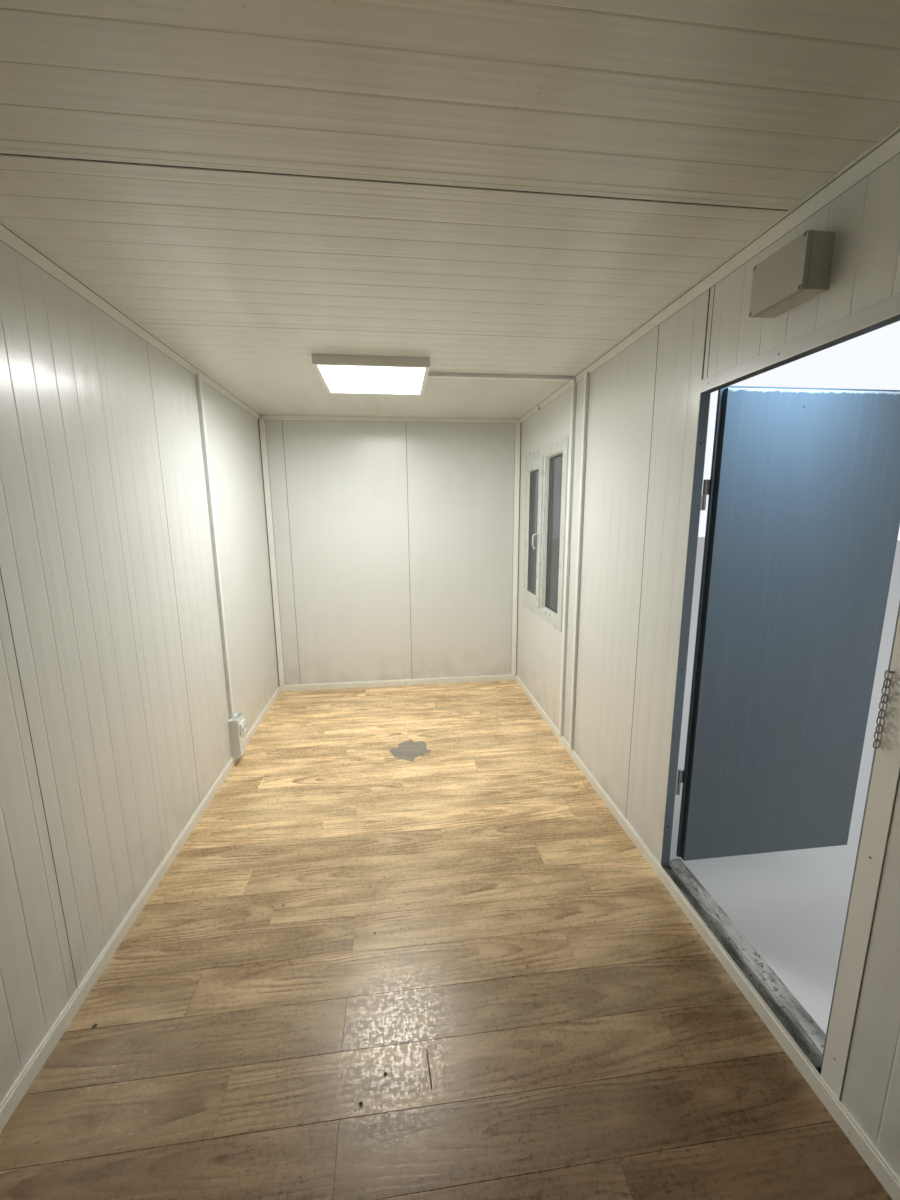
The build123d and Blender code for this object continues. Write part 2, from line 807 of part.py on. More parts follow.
# The crown trims meet at mitred corners, and the one over the window is in two lengths
def make_crown_trims():
    mitre = edge_gap / 2
    corner_x = room_half_width - mitre
    corner_y = room_half_length - mitre
    inner_x = room_half_width - crown_reach
    inner_y = room_half_length - crown_reach
    low = wall_top_z - crown_drop
    side_plan = [(room_half_width, corner_y), (inner_x, inner_y - mitre),
                 (inner_x, mitre - inner_y), (room_half_width, -corner_y)]
    end_plan = [(corner_x, room_half_length), (inner_x - mitre, inner_y),
                (mitre - inner_x, inner_y), (-corner_x, room_half_length)]
    side = side_trim(crown_section(), wall_top_z, room_half_length)
    side &= plan_prism(side_plan, low, wall_top_z)
    end = end_trim(crown_section(), wall_top_z, room_half_width)
    end &= plan_prism(end_plan, low, wall_top_z)
    joint = from_far(crown_joint_from_far)
    right = side - block(inner_x, room_half_width, joint - edge_gap, joint, low, wall_top_z)
    save("ceiling_trims", *right.solids(), mirror(side, about=Plane.YZ), *both_ends(end))


def make_room_trims():
    reach = room_half_width - skirting_thickness - edge_gap
    sides = both_sides(side_trim(skirting_section(), floor_z, room_half_length))
    ends = both_ends(end_trim(skirting_section(), floor_z, reach))
    save("skirtings", *sides, *ends)
    corner_x = room_half_width
    corner_y = room_half_length
    half = corner_trim_thickness / 2
    path = [(corner_x - corner_trim_leg, corner_y - half), (corner_x - half, corner_y - half),
            (corner_x - half, corner_y - corner_trim_leg)]
    trim = plan_prism(folded_strip(path, corner_trim_thickness), floor_z + skirting_height,
                      wall_top_z - crown_drop)
    save("corner_trims", *four_corners(trim))


# Roof rail: a flange under the ceiling panels, an outer web and a gutter that steps down
# to the ledge under the roof sheet
def roof_rail_path(outer_face):
    half = roof_steel / 2
    web = outer_face - half
    lip = outer_face - gutter_width + half
    ledge_z = outer_height - gutter_depth + half
    low = wall_top_z + half
    return [(outer_face - roof_rail_bottom_flange, low), (web, low), (web, outer_height - half),
            (lip, outer_height - half), (lip, ledge_z), (lip - roof_ledge, ledge_z)]


def make_roof_rails():
    section = folded_strip(roof_rail_path(half_width), roof_steel)
    save("roof_side_rails", *both_sides(long_prism(section, -rail_end_y, rail_end_y)))
    section = folded_strip(roof_rail_path(half_length), roof_steel)
    save("roof_end_rails", *both_ends(cross_prism(section, -rail_end_x, rail_end_x)))


# Ceiling panels lie across the room, grooved on their underside
def make_ceiling():
    length = 2 * room_half_length
    whole = int((length - first_ceiling_panel) // panel_module)
    joints = [0] + [first_ceiling_panel + index * panel_module for index in range(whole + 1)]
    joints.append(length)
    reach = panel_outer_x - 2 * roof_steel
    panels = []
    for index, (start, end) in enumerate(zip(joints, joints[1:])):
        outline = panel_outline(start, end, lap=lap_width if index == lapped_joint else 0)
        points = [(from_far(u), ceiling_z + v) for u, v in outline]
        panels.append(cross_prism(points, -reach, reach))
    save("ceiling_panels", *panels)


def make_roof_sheet():
    base_z = outer_height - gutter_depth + roof_steel
    reach_x = half_width - gutter_width
    reach_y = half_length - gutter_width
    waves = int((2 * reach_y - sheet_crown) // sheet_pitch)
    flat = sheet_pitch - sheet_crown - 2 * sheet_slope
    start = -waves * sheet_pitch / 2
    low = base_z + sheet_thickness / 2
    high = low + sheet_rise
    path = [(-reach_y, low)]
    for index in range(waves):
        place = start + index * sheet_pitch + flat / 2
        path += [(place, low), (place + sheet_slope, high),
                 (place + sheet_slope + sheet_crown, high),
                 (place + 2 * sheet_slope + sheet_crown, low)]
    path.append((reach_y, low))
    sheet = cross_prism(folded_strip(path, sheet_thickness), -reach_x, reach_x)
    top = base_z + sheet_rise + 2 * sheet_thickness
    for notch in four_corners(block(rail_end_x, half_width, rail_end_y, half_length, base_z, top)):
        sheet -= notch
    save("roof_sheet", sheet)


def make_lamp():
    left = lamp_left_edge - room_half_width
    right = left + lamp_size
    far = from_far(lamp_from_far)
    near = far - lamp_size
    low = ceiling_z - lamp_depth
    housing = block(left, right, near, far, low, ceiling_z)
    housing -= block(left + lamp_wall, right - lamp_wall, near + lamp_wall, far - lamp_wall,
                     low + lamp_lip_thickness, ceiling_z - lamp_lip_thickness)
    housing -= block(left + lamp_lip, right - lamp_lip, near + lamp_lip, far - lamp_lip,
                     low, low + lamp_lip_thickness)
    save("lamp_housing", housing)
    panel_low = low + lamp_lip_thickness
    save("lamp_panel", block(left + lamp_wall, right - lamp_wall, near + lamp_wall,
                             far - lamp_wall, panel_low, panel_low + lamp_panel_thickness))


def make_trunking():
    crown_low = wall_top_z - crown_drop
    skirting_top = floor_z + skirting_height
    wall_x = room_half_width
    lamp_right = lamp_left_edge - room_half_width + lamp_size
    far = from_far(lighting_trunk_from_far)
    overhead = block(lamp_right, wall_x - crown_reach, far - trunk_width, far,
                     ceiling_z - trunk_depth, ceiling_z)
    standing = block(wall_x - trunk_depth, wall_x, far - trunk_width, far, skirting_top, crown_low)
    save("lighting_trunking", overhead, standing)
    far = from_far(narrow_trunk_from_far)
    save("right_wall_trunking", block(wall_x - trunk_depth, wall_x, far - narrow_trunk_width, far,
                                      skirting_top, crown_low))
    far = from_far(socket_box_from_far + left_trunk_inset)
    box_high = skirting_top + socket_box_height
    save("left_wall_trunking", block(-wall_x, trunk_depth - wall_x, far - trunk_width, far,
                                     box_high, crown_low))


# A deep box standing on the skirting, its top open behind the front, and a round socket
# on a square plate
def make_socket_box():
    low = floor_z + skirting_height
    high = low + socket_box_height
    wall_x = -room_half_width
    front_x = wall_x + socket_box_depth
    far = from_far(socket_box_from_far)
    near = far - socket_box_width
    box = block(wall_x, front_x, near, far, low, high)
    box -= block(wall_x + trunk_depth + socket_box_wall, front_x - socket_box_wall,
                 near + socket_box_wall, far - socket_box_wall, high - socket_box_well, high)
    middle_z = high - socket_plate_drop - socket_plate / 2
    plane = Plane(origin=(front_x, (near + far) / 2, middle_z), x_dir=(0, 1, 0), z_dir=(1, 0, 0))
    box += extrude(plane * Rectangle(socket_plate, socket_plate), amount=socket_plate_thickness)
    outer = plane.offset(socket_plate_thickness + socket_collar)
    box += extrude(plane * Circle(socket_collar_radius), amount=socket_plate_thickness + socket_collar)
    box -= extrude(outer * Circle(socket_radius), amount=-socket_recess)
    save("socket_box", box)


# A box with rounded corners and a flat lid, screwed down in a well at each corner
def make_junction_box():
    middle_y = from_far(door_far_stop + junction_past_stop + junction_width / 2)
    middle_z = ceiling_z - junction_drop - junction_height / 2
    seam = room_half_width - junction_depth + junction_lid
    outline = RectangleRounded(junction_width, junction_height, junction_round)
    plane = Plane(origin=(seam, middle_y, middle_z), x_dir=(0, 1, 0), z_dir=(-1, 0, 0))
    save("junction_box", extrude(plane * outline, amount=-(junction_depth - junction_lid)))
    lid = extrude(plane * outline, amount=junction_lid)
    face = plane.offset(junction_lid)
    corners = GridLocations(junction_width - 2 * lid_screw_inset,
                            junction_height - 2 * lid_screw_inset, 2, 2)
    for spot in corners:
        place = face * spot
        lid -= extrude(place * Circle(lid_screw_well), amount=-lid_well_depth)
        head = extrude(place * Circle(lid_screw_radius), amount=-lid_well_depth)
        lid += head - extrude(place * Circle(lid_screw_radius), amount=-lid_screw_sink)
    save("junction_box_lid", lid)


# One oval link standing in the YZ plane, its wire a hexagonal bar
def chain_link():
    bend = (chain_link_width - chain_wire) / 2
    straight = (chain_link_length - chain_wire) / 2 - bend
    right = Line((bend, -straight), (bend, straight))
    top = JernArc((bend, straight), (0, 1), bend, 180)
    left = Line((-bend, straight), (-bend, -straight))
    bottom = JernArc((-bend, -straight), (0, -1), bend, 180)
    loop = Wire([right.edge(), top.edge(), left.edge(), bottom.edge()])
    section = Plane(origin=(bend, 0, 0), x_dir=(1, 0, 0), z_dir=(0, 1, 0))
    wire_section = section * RegularPolygon(chain_wire / 2, 6)
    link = sweep(wire_section, path=loop)
    return Rot(0, 0, 90) * Rot(90, 0, 0) * link


def make_door_chain():
    pitch = chain_link_length - 2 * chain_wire - chain_slack
    strip_x = room_half_width - cover_strip_thickness
    x = strip_x - chain_link_width / 2 - edge_gap
    y = from_far(door_strip_edge + chain_beyond_edge)
    top = floor_z + chain_top
    links = []
    for index in range(chain_links):
        turn = Rot(0, 0, 90 * (index % 2))
        links.append(Pos(x, y, top - index * pitch) * turn * chain_link())
    screw_z = top + chain_link_length / 2 - chain_wire - chain_screw_radius - chain_slack
    plane = Plane(origin=(strip_x, y, screw_z), x_dir=(0, 1, 0), z_dir=(-1, 0, 0))
    head_start = strip_x - x + chain_wire
    screw = extrude(plane * Circle(chain_screw_radius), amount=head_start)
    screw += extrude(plane.offset(head_start) * Circle(chain_screw_head_radius),
                     amount=chain_screw_head)
    save("door_chain", screw, *links)


def main():
    os.makedirs("parts", exist_ok=True)
    make_base_rails()
    make_floor_joists()
    make_fork_pockets()
    make_under_floor_sheets()
    make_corner_castings()
    make_corner_posts()
    make_floor()
    make_plain_walls()
    make_right_wall()
    make_door_frame()
    make_door_trim()
    make_threshold()
    make_door_leaf()
    make_door_handle()
    make_hinges()
    make_window()
    make_room_trims()
    make_crown_trims()
    make_roof_rails()
    make_ceiling()
    make_roof_sheet()
    make_lamp()
    make_trunking()
    make_socket_box()
    make_junction_box()
    make_door_chain()


main()
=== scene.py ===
import bmesh
import bpy
import math
import random
from mathutils import Matrix, Vector


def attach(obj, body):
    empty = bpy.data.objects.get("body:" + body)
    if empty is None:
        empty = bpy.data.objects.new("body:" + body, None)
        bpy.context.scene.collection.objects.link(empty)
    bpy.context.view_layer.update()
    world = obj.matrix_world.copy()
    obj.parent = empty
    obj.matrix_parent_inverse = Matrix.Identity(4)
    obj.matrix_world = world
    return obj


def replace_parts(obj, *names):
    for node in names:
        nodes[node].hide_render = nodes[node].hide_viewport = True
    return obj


# Portable site cabin with one room. Metres; the door and the window are in the wall at +X,
# the far end of the room is at +Y.

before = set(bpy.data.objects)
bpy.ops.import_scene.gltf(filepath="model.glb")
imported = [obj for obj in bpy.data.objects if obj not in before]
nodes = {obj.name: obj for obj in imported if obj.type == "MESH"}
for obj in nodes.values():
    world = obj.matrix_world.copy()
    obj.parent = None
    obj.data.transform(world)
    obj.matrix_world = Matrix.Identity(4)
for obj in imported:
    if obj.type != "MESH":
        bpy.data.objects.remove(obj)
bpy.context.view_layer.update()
print("frame loaded:", len(nodes), "nodes")

room = {"halfWidth": 1.1285, "halfLength": 2.9385, "skirtingTop": 0.230, "crownLow": 2.584,
        "crownInner": 1.1155, "flange": 2.620, "ceiling": 2.624}


# Maths on shader sockets, written as sums
class Wire:
    def __init__(self, finish, socket):
        self.finish = finish
        self.socket = socket

    def maths(self, operation, first, second=0.0):
        return self.finish.node("ShaderNodeMath", {"operation": operation}, {0: first, 1: second})

    def __add__(self, other):
        return self.maths("ADD", self, other)

    def __radd__(self, other):
        return self.maths("ADD", other, self)

    def __sub__(self, other):
        return self.maths("SUBTRACT", self, other)

    def __rsub__(self, other):
        return self.maths("SUBTRACT", other, self)

    def __mul__(self, other):
        return self.maths("MULTIPLY", self, other)

    def __rmul__(self, other):
        return self.maths("MULTIPLY", other, self)

    def __truediv__(self, other):
        return self.maths("DIVIDE", self, other)

    def __rtruediv__(self, other):
        return self.maths("DIVIDE", other, self)

    def __pow__(self, other):
        return self.maths("POWER", self, other)

    def __rpow__(self, other):
        return self.maths("POWER", other, self)

    def __mod__(self, other):
        return self.maths("FLOORED_MODULO", self, other)

    def __rmod__(self, other):
        return self.maths("FLOORED_MODULO", other, self)

    def __abs__(self):
        return self.maths("ABSOLUTE", self)

    def greatest(self, other):
        return self.maths("MAXIMUM", self, other)

    def least(self, other):
        return self.maths("MINIMUM", self, other)

    def wave(self):
        return self.maths("SINE", self)


# One material; place is where a point lies on the cabin, x, y and z its parts
class Finish:
    def __init__(self, name, constants=None):
        self.material = bpy.data.materials.new(name)
        self.material.use_nodes = True
        tree = self.material.node_tree
        self.nodes = tree.nodes
        self.links = tree.links
        self.shader = next(n for n in self.nodes if n.type == "BSDF_PRINCIPLED")
        for socket, value in (constants or {}).items():
            self.join(value, self.shader.inputs[socket])
        self.place = self.node("ShaderNodeTexCoord", output="Object")
        self.x, self.y, self.z = self.split(self.place)

    def join(self, value, socket):
        if isinstance(value, Wire):
            self.links.new(value.socket, socket)
        elif isinstance(value, tuple) and len(value) < len(socket.default_value):
            socket.default_value = (*value, 1.0)
        else:
            socket.default_value = value

    def node(self, kind, settings=None, inputs=None, output=0):
        made = self.nodes.new(kind)
        for name, value in (settings or {}).items():
            setattr(made, name, value)
        for name, value in (inputs or {}).items():
            self.join(value, made.inputs[name])
        return Wire(self, made.outputs[output])

    def split(self, vector):
        made = self.nodes.new("ShaderNodeSeparateXYZ")
        self.links.new(vector.socket, made.inputs[0])
        return [Wire(self, socket) for socket in made.outputs]

    def vector(self, x, y, z):
        return self.node("ShaderNodeCombineXYZ", {}, {0: x, 1: y, 2: z})

    def mix(self, factor, first, second, blend="MIX"):
        return self.node("ShaderNodeMix", {"data_type": "RGBA", "blend_type": blend},
                         {0: factor, 6: first, 7: second}, 2)

    def cloud(self, scale, detail=2.0, stretch=(1.0, 1.0, 1.0), place=None, roughness=0.5):
        spread = self.node("ShaderNodeVectorMath", {"operation": "MULTIPLY"},
                           {0: place or self.place, 1: stretch})
        return self.node("ShaderNodeTexNoise", {},
                         {"Vector": spread, "Scale": scale, "Detail": detail,
                          "Roughness": roughness})

    def rise(self, value, low, high):
        return self.node("ShaderNodeMapRange", {"interpolation_type": "SMOOTHSTEP"},
                         {"Value": value, "From Min": low, "From Max": high})

    def spot(self, centre, radius, ragged, scale):
        away = self.node("ShaderNodeVectorMath", {"operation": "DISTANCE"},
                         {0: self.place, 1: centre}, 1)
        away = away + (self.cloud(scale, 4.0) - 0.5) * ragged
        return 1.0 - self.rise(away, radius * 0.55, radius)

    # tilt is added to the normal as the bump leaves it
    def feed(self, colour=None, roughness=None, height=None, alpha=None, tilt=None):
        given = {"Base Color": colour, "Roughness": roughness, "Alpha": alpha}
        for socket, value in given.items():
            if value is not None:
                self.join(value, self.shader.inputs[socket])
        if height is not None:
            normal = self.node("ShaderNodeBump", {}, {"Height": height, "Distance": 1.0})
            if tilt is not None:
                normal = self.node("ShaderNodeVectorMath", {"operation": "ADD"},
                                   {0: normal, 1: tilt})
                normal = self.node("ShaderNodeVectorMath", {"operation": "NORMALIZE"},
                                   {0: normal})
            self.links.new(normal.socket, self.shader.inputs["Normal"])


def dress(finish, *names):
    for name in names:
        node = nodes[name]
        if not node.material_slots:
            node.data.materials.append(finish.material)
        for slot in node.material_slots:
            slot.material = finish.material


# A mesh that is built ring by ring; slab cuts its upper edges back by edge
class Shape:
    def __init__(self):
        self.mesh = bmesh.new()

    def ring(self, points):
        return [self.mesh.verts.new(point) for point in points]

    def skin(self, rings, capped=True):
        for first, second in zip(rings, rings[1:]):
            for index in range(len(first)):
                after = (index + 1) % len(first)
                self.mesh.faces.new((first[index], first[after], second[after], second[index]))
        if capped:
            self.mesh.faces.new(rings[0][::-1])
            self.mesh.faces.new(rings[-1])

    def slab(self, low, high, edge=0.0):
        corners = ((0, 0), (1, 0), (1, 1), (0, 1))
        levels = [(low[2], 0.0), (high[2] - edge, 0.0)] + ([(high[2], edge)] if edge else [])
        rings = []
        for z, inset in levels:
            ends = ((low[0] + inset, high[0] - inset), (low[1] + inset, high[1] - inset))
            rings.append(self.ring([(ends[0][i], ends[1][j], z) for i, j in corners]))
        self.skin(rings)

    def lathe(self, start, direction, profile, sides=12):
        turn = Vector(direction).to_track_quat("Z", "Y")
        rings = []
        for along, radius in profile:
            angles = [2 * math.pi * index / sides for index in range(sides)]
            rings.append(self.ring([Vector(start) + turn @ Vector((radius * math.cos(a),
                                                                   radius * math.sin(a), along))
                                    for a in angles]))
        self.skin(rings)

    def piece(self, name, finish, slot, body="cabin"):
        bmesh.ops.recalc_face_normals(self.mesh, faces=self.mesh.faces)
        data = bpy.data.meshes.new(name)
        self.mesh.to_mesh(data)
        self.mesh.free()
        made = bpy.data.objects.new(name, data)
        bpy.context.scene.collection.objects.link(made)
        data.materials.append(finish.material)
        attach(made, body)
        return made


# Camera as it was fitted to the room; angles in degrees
view = {"place": (-0.0205, -1.3712, 1.7954), "pitch": -10.48, "yaw": 6.61, "roll": -0.46,
        "lens": 14.03, "clip": 0.02}


def makeCamera():
    data = bpy.data.cameras.new("camera")
    camera = bpy.data.objects.new("camera", data)
    bpy.context.scene.collection.objects.link(camera)
    bpy.context.scene.camera = camera
    data.lens = view["lens"]
    data.clip_start = view["clip"]
    pitch, yaw, roll = (math.radians(view[key]) for key in ("pitch", "yaw", "roll"))
    forward = Vector((math.sin(yaw) * math.cos(pitch), math.cos(yaw) * math.cos(pitch),
                      math.sin(pitch)))
    level = Vector((math.cos(yaw), -math.sin(yaw), 0.0))
    upright = level.cross(forward)
    right = math.cos(roll) * level + math.sin(roll) * upright
    up = math.cos(roll) * upright - math.sin(roll) * level
    camera.matrix_world = Matrix([(right.x, up.x, -forward.x, view["place"][0]),
                                  (right.y, up.y, -forward.y, view["place"][1]),
                                  (right.z, up.z, -forward.z, view["place"][2]),
                                  (0.0, 0.0, 0.0, 1.0)])


makeCamera()
print("camera placed")

# Painted sheet of the panels: glossy, a little wavy, with a fine groove each 100 mm
panelPaint = {
    "wall": (0.786, 0.800, 0.772), "ceiling": (0.842, 0.860, 0.792), "grime": (0.42, 0.37, 0.28),
    "gloss": 0.26, "glossSpread": 0.14, "coat": 0.30, "coatRoughness": 0.17,
    "crown": 0.00042, "waviness": 0.0011, "streaks": 0.0015,
    "pitch": 0.1, "grooveHalf": 0.0016, "flankHalf": 0.0080, "tilt": 0.15,
    "smudges": 0.10, "specks": 0.35, "footDirt": 0.30, "footReach": (0.20, 0.62),
    # How much darker the grooves are drawn on the walls and, in patches, on the ceiling
    "wallGrooveDarkening": 0.02, "ceilingGrooveDarkening": (0.35, 0.4),
    # Painted shade on the ceiling towards the near end and how far it reaches, then the strength of
    # the painted reflection bands on the ceiling
    "nearShade": 0.40, "paintedShadeReach": (-0.9, 0.9), "paintedReflections": 0.20,
}
panelGroups = {
    "panelSheetSides": (1, 0.0405, ("left_wall", "right_wall_far_panels")),
    "panelSheetWindow": (1, 0.092, ("window_panel",)),
    "panelSheetNear": (1, 0.0, ("right_wall_near_panels",)),
    "panelSheetOverDoor": (1, 0.084, ("over_door_panel", "over_door_fillers")),
    "panelSheetEnds": (0, 0.009, ("far_end_wall", "near_end_wall")),
    "panelSheetCeiling": (1, 0.049, ("ceiling_panels",)),
}


# across is the axis that the ribs follow one another along, start where a groove lies on it
def panelFinish(name, across, start):
    overhead = name.endswith("Ceiling")
    paint = panelPaint
    made = Finish(name, {"Coat Weight": paint["coat"], "Coat Roughness": paint["coatRoughness"],
                         "Specular IOR Level": 0.5})
    pitch = paint["pitch"]
    along = (made.x, made.y)[across] - start
    crown = (along * (math.pi / pitch)).wave()
    beyond = (along + pitch / 2) % pitch - pitch / 2
    away = abs(beyond)
    groove = 1.0 - made.rise(away, paint["grooveHalf"] * 0.3, paint["grooveHalf"])
    flank = 1.0 - made.rise(away, 0.0, paint["flankHalf"])
    tilt = (beyond / paint["grooveHalf"]).greatest(-1.0).least(1.0) * flank * -paint["tilt"]
    long = (0.22, 1.0, 0.22) if across else (1.0, 0.22, 0.22)
    narrow = (0.08, 1.0, 0.08) if across else (1.0, 0.08, 0.08)
    if overhead:
        long, narrow = (0.3, 1.0, 1.0), (0.05, 2.6, 1.0)
    slow = made.cloud(2.6, 1.0, long)
    streaks = made.cloud(22.0, 1.0, narrow)
    smudge = made.rise(made.cloud(1.7, 4.0), 0.50, 0.78)
    speck = made.rise(made.cloud(80.0, 1.0), 0.70, 0.76) \
        * made.rise(made.cloud(6.0, 2.0), 0.5, 0.7)
    foot = (1.0 - made.rise(made.z, *paint["footReach"])) \
        * made.rise(made.cloud(7.0, 5.0), 0.35, 0.75)
    patchy = made.rise(made.cloud(1.6, 2.0), 0.35, 0.65)
    # This sum holds smudges, specks and dirt near the floor; on the ceiling it also holds painted
    # shade and painted reflections
    darkening = smudge * paint["smudges"] + speck * paint["specks"] + foot * paint["footDirt"]
    if overhead:
        least, more = paint["ceilingGrooveDarkening"]
        # painted reflections: soft light and dark bands along the ceiling, standing in for the
        # walls and the door mirrored in its gloss
        paintedReflections = made.rise(made.cloud(2.6, 2.0, (1.0, 0.16, 1.0)), 0.38, 0.66) - 0.5
        # the ceiling's grooves drawn darker, in patches
        darkening = darkening + groove * (least + patchy * more)
        # painted shade: the ceiling drawn darker towards the near end of the room
        darkening = darkening + (1.0 - made.rise(made.y, *paint["paintedShadeReach"])) * paint["nearShade"]
        darkening = darkening + paintedReflections * paint["paintedReflections"]
    else:
        # the walls' grooves drawn a little darker, in patches
        darkening = darkening + groove * (patchy * paint["wallGrooveDarkening"])
    colour = paint["ceiling"] if overhead else paint["wall"]
    # the grime colour takes the real dirt, the painted shade and the painted reflections alike
    made.feed(colour=made.mix(darkening.least(1.0), colour, paint["grime"]),
              roughness=paint["gloss"] + made.cloud(5.0, 3.0) * paint["glossSpread"] + darkening * 0.2,
              height=crown * crown * paint["crown"] + slow * paint["waviness"]
              + streaks * paint["streaks"],
              tilt=made.vector(0.0, tilt, 0.0) if across else made.vector(tilt, 0.0, 0.0))
    return made


for sheetName, (axis, firstGroove, sheetNodes) in panelGroups.items():
    dress(panelFinish(sheetName, axis, firstGroove), *sheetNodes)
print("panels painted")


# Plain painted, plastic and metal finishes. worn shows where the surface is rubbed, more of it
# with a higher wear; indoors is the colour of what shows inside the room
def paintFinish(name, colour, gloss, worn=None, wear=0.0, ripple=0.0003, coat=0.0, metal=0.0,
                indoors=None):
    made = Finish(name, {"Coat Weight": coat, "Coat Roughness": 0.15, "Metallic": metal})
    shade = made.cloud(9.0, 4.0)
    scuff = made.rise(made.cloud(38.0, 6.0, roughness=0.7), 0.62 - wear * 0.2, 0.80 - wear * 0.2)
    darker = tuple(part * (0.86 if worn else 0.97) for part in colour)
    base = made.mix(shade, darker, colour)
    if worn:
        base = made.mix(scuff * made.rise(made.cloud(4.0, 2.0), 0.4, 0.7), base, worn)
    if indoors:
        edges = (made.x, room["halfWidth"]), (made.y, room["halfLength"])
        besideX, besideY = (1.0 - made.rise(abs(part), half, half + 0.001) for part, half in edges)
        base = made.mix(besideX * besideY, base, indoors)
    made.feed(colour=base, roughness=gloss + made.cloud(16.0, 3.0) * 0.14 - 0.04,
              height=made.cloud(3.0, 1.0) * ripple)
    return made


frameGrey, frameRub = (0.060, 0.070, 0.082), (0.16, 0.15, 0.14)
framePaint = paintFinish("steelFramePaint", frameGrey, 0.42, frameRub, 0.2)
railPaint = paintFinish("roofRailPaint", frameGrey, 0.42, frameRub, 0.2,
                        indoors=panelPaint["ceiling"])
crownPaint = paintFinish("crownPaint", (0.93, 0.94, 0.88), 0.30, (0.40, 0.36, 0.28), 0.1, coat=0.2)
skirtPaint = paintFinish("skirtingPaint", (0.95, 0.94, 0.85), 0.30, (0.40, 0.34, 0.25), 0.15,
                         coat=0.2)
jambPaint = paintFinish("doorFramePaint", (0.24, 0.275, 0.30), 0.36, (0.16, 0.15, 0.13), 0.3)
plastic = paintFinish("windowPlastic", (0.66, 0.69, 0.65), 0.26, ripple=0.0001, coat=0.2)
trunkPlastic = paintFinish("trunkingPlastic", (0.92, 0.94, 0.91), 0.38, (0.6, 0.56, 0.5), 0.0,
                           0.0002)
boxPlastic = paintFinish("boxPlastic", (0.58, 0.57, 0.53), 0.42, (0.36, 0.34, 0.31), 0.1, 0.0001)
lampPaint = paintFinish("lampBodyPaint", (0.93, 0.925, 0.86), 0.30, ripple=0.0001)
handleMetal = paintFinish("handleMetal", (0.55, 0.55, 0.54), 0.30, (0.35, 0.34, 0.32), 0.1, 0.0001,
                          metal=0.9)
hingeSteel = paintFinish("hingeSteel", (0.58, 0.58, 0.56), 0.34, (0.22, 0.17, 0.12), 0.5, 0.0001,
                         metal=0.85)
chainSteel = paintFinish("chainSteel", (0.40, 0.39, 0.37), 0.34, (0.16, 0.11, 0.07), 0.4, 0.0001,
                         metal=0.9)
darkSteel = paintFinish("darkSteel", (0.16, 0.155, 0.15), 0.38, (0.20, 0.13, 0.08), 0.2, 0.0001,
                        metal=0.7)
spacerMetal = paintFinish("spacerMetal", (0.60, 0.62, 0.62), 0.4, ripple=0.0001, metal=0.3)
rivetPaint = paintFinish("rivetPaint", (0.42, 0.40, 0.36), 0.45, (0.2, 0.17, 0.13), 0.3, 0.0001)
rubber = paintFinish("sealRubber", (0.020, 0.020, 0.021), 0.62, (0.05, 0.05, 0.05), 0.1, 0.0001)
shadowGap = paintFinish("jointShadow", (0.10, 0.095, 0.085), 0.8)
# Dark colour for sealant, also used for lines that stand in for shadows along the trims and the
# sash
sealantAndShadow = paintFinish("sealantAndShadowDark", (0.21, 0.20, 0.175), 0.7)
paleSeal = paintFinish("paleJointSeal", (0.74, 0.74, 0.70), 0.5)
dress(skirtPaint, "skirtings")
dress(framePaint, "base_side_rails", "base_end_rails", "fork_pockets", "floor_joists",
      "corner_posts", "bottom_corner_castings", "top_corner_castings")
dress(railPaint, "roof_side_rails", "roof_end_rails")
dress(jambPaint, "door_frame")
dress(plastic, "window_frame", "window_sash", "window_handle")
dress(trunkPlastic, "lighting_trunking", "right_wall_trunking", "left_wall_trunking",
      "socket_box")
dress(boxPlastic, "junction_box", "junction_box_lid")
dress(lampPaint, "lamp_housing")
dress(handleMetal, "door_handle")
dress(hingeSteel, "hinge_frame_halves", "hinge_leaf_halves")
dress(chainSteel, "door_chain")


# Strip over the door and the paler strip beside it, scuffed. A pale colour along the lower edge of
# the strip over the door is a painted highlight; it also lies over the side strip below that height
doorTrim = {"head": (0.71, 0.74, 0.74), "side": (0.91, 0.90, 0.84), "sideEnds": -0.448,
            # the pale colour and the height below which it lies are a painted highlight along the
            # lower edge
            "scuffed": (0.52, 0.51, 0.47), "highlightLine": (0.95, 0.95, 0.92),
            "highlightLineReach": (2.2305, 2.236)}


def doorTrimFinish():
    made = Finish("doorTrimPaint", {"Coat Weight": 0.15, "Coat Roughness": 0.2})
    beside = 1.0 - made.rise(made.y, doorTrim["sideEnds"] - 0.0005, doorTrim["sideEnds"] + 0.0005)
    scuff = made.rise(made.cloud(34.0, 6.0, (1.0, 0.5, 1.0), roughness=0.75), 0.55, 0.72)
    # painted highlight along the lower edge of the strip over the door, also covering the side
    # strip below it
    edge = 1.0 - made.rise(made.z, *doorTrim["highlightLineReach"])
    base = made.mix(beside, doorTrim["head"], doorTrim["side"])
    base = made.mix(scuff * 0.45, base, doorTrim["scuffed"])
    base = made.mix(edge * 0.8, base, doorTrim["highlightLine"])
    made.feed(colour=base, roughness=0.30 + scuff * 0.2, height=made.cloud(5.0, 2.0) * 0.0006)
    return made


dress(doorTrimFinish(), "door_trim")


# Galvanised roof and underside
def zincFinish():
    made = Finish("galvanisedSheet", {"Metallic": 0.75})
    spangle = made.node("ShaderNodeTexVoronoi", {}, {"Vector": made.place, "Scale": 70.0}, 1)
    grey = made.mix(0.12, (0.52, 0.53, 0.53), spangle)
    stain = made.rise(made.cloud(2.4, 6.0), 0.55, 0.8)
    made.feed(colour=made.mix(stain * 0.5, grey, (0.30, 0.29, 0.27)),
              roughness=0.38 + made.cloud(30.0, 4.0) * 0.2, height=made.cloud(4.0, 2.0) * 0.001)
    return made


dress(zincFinish(), "roof_sheet", "under_floor_sheets")


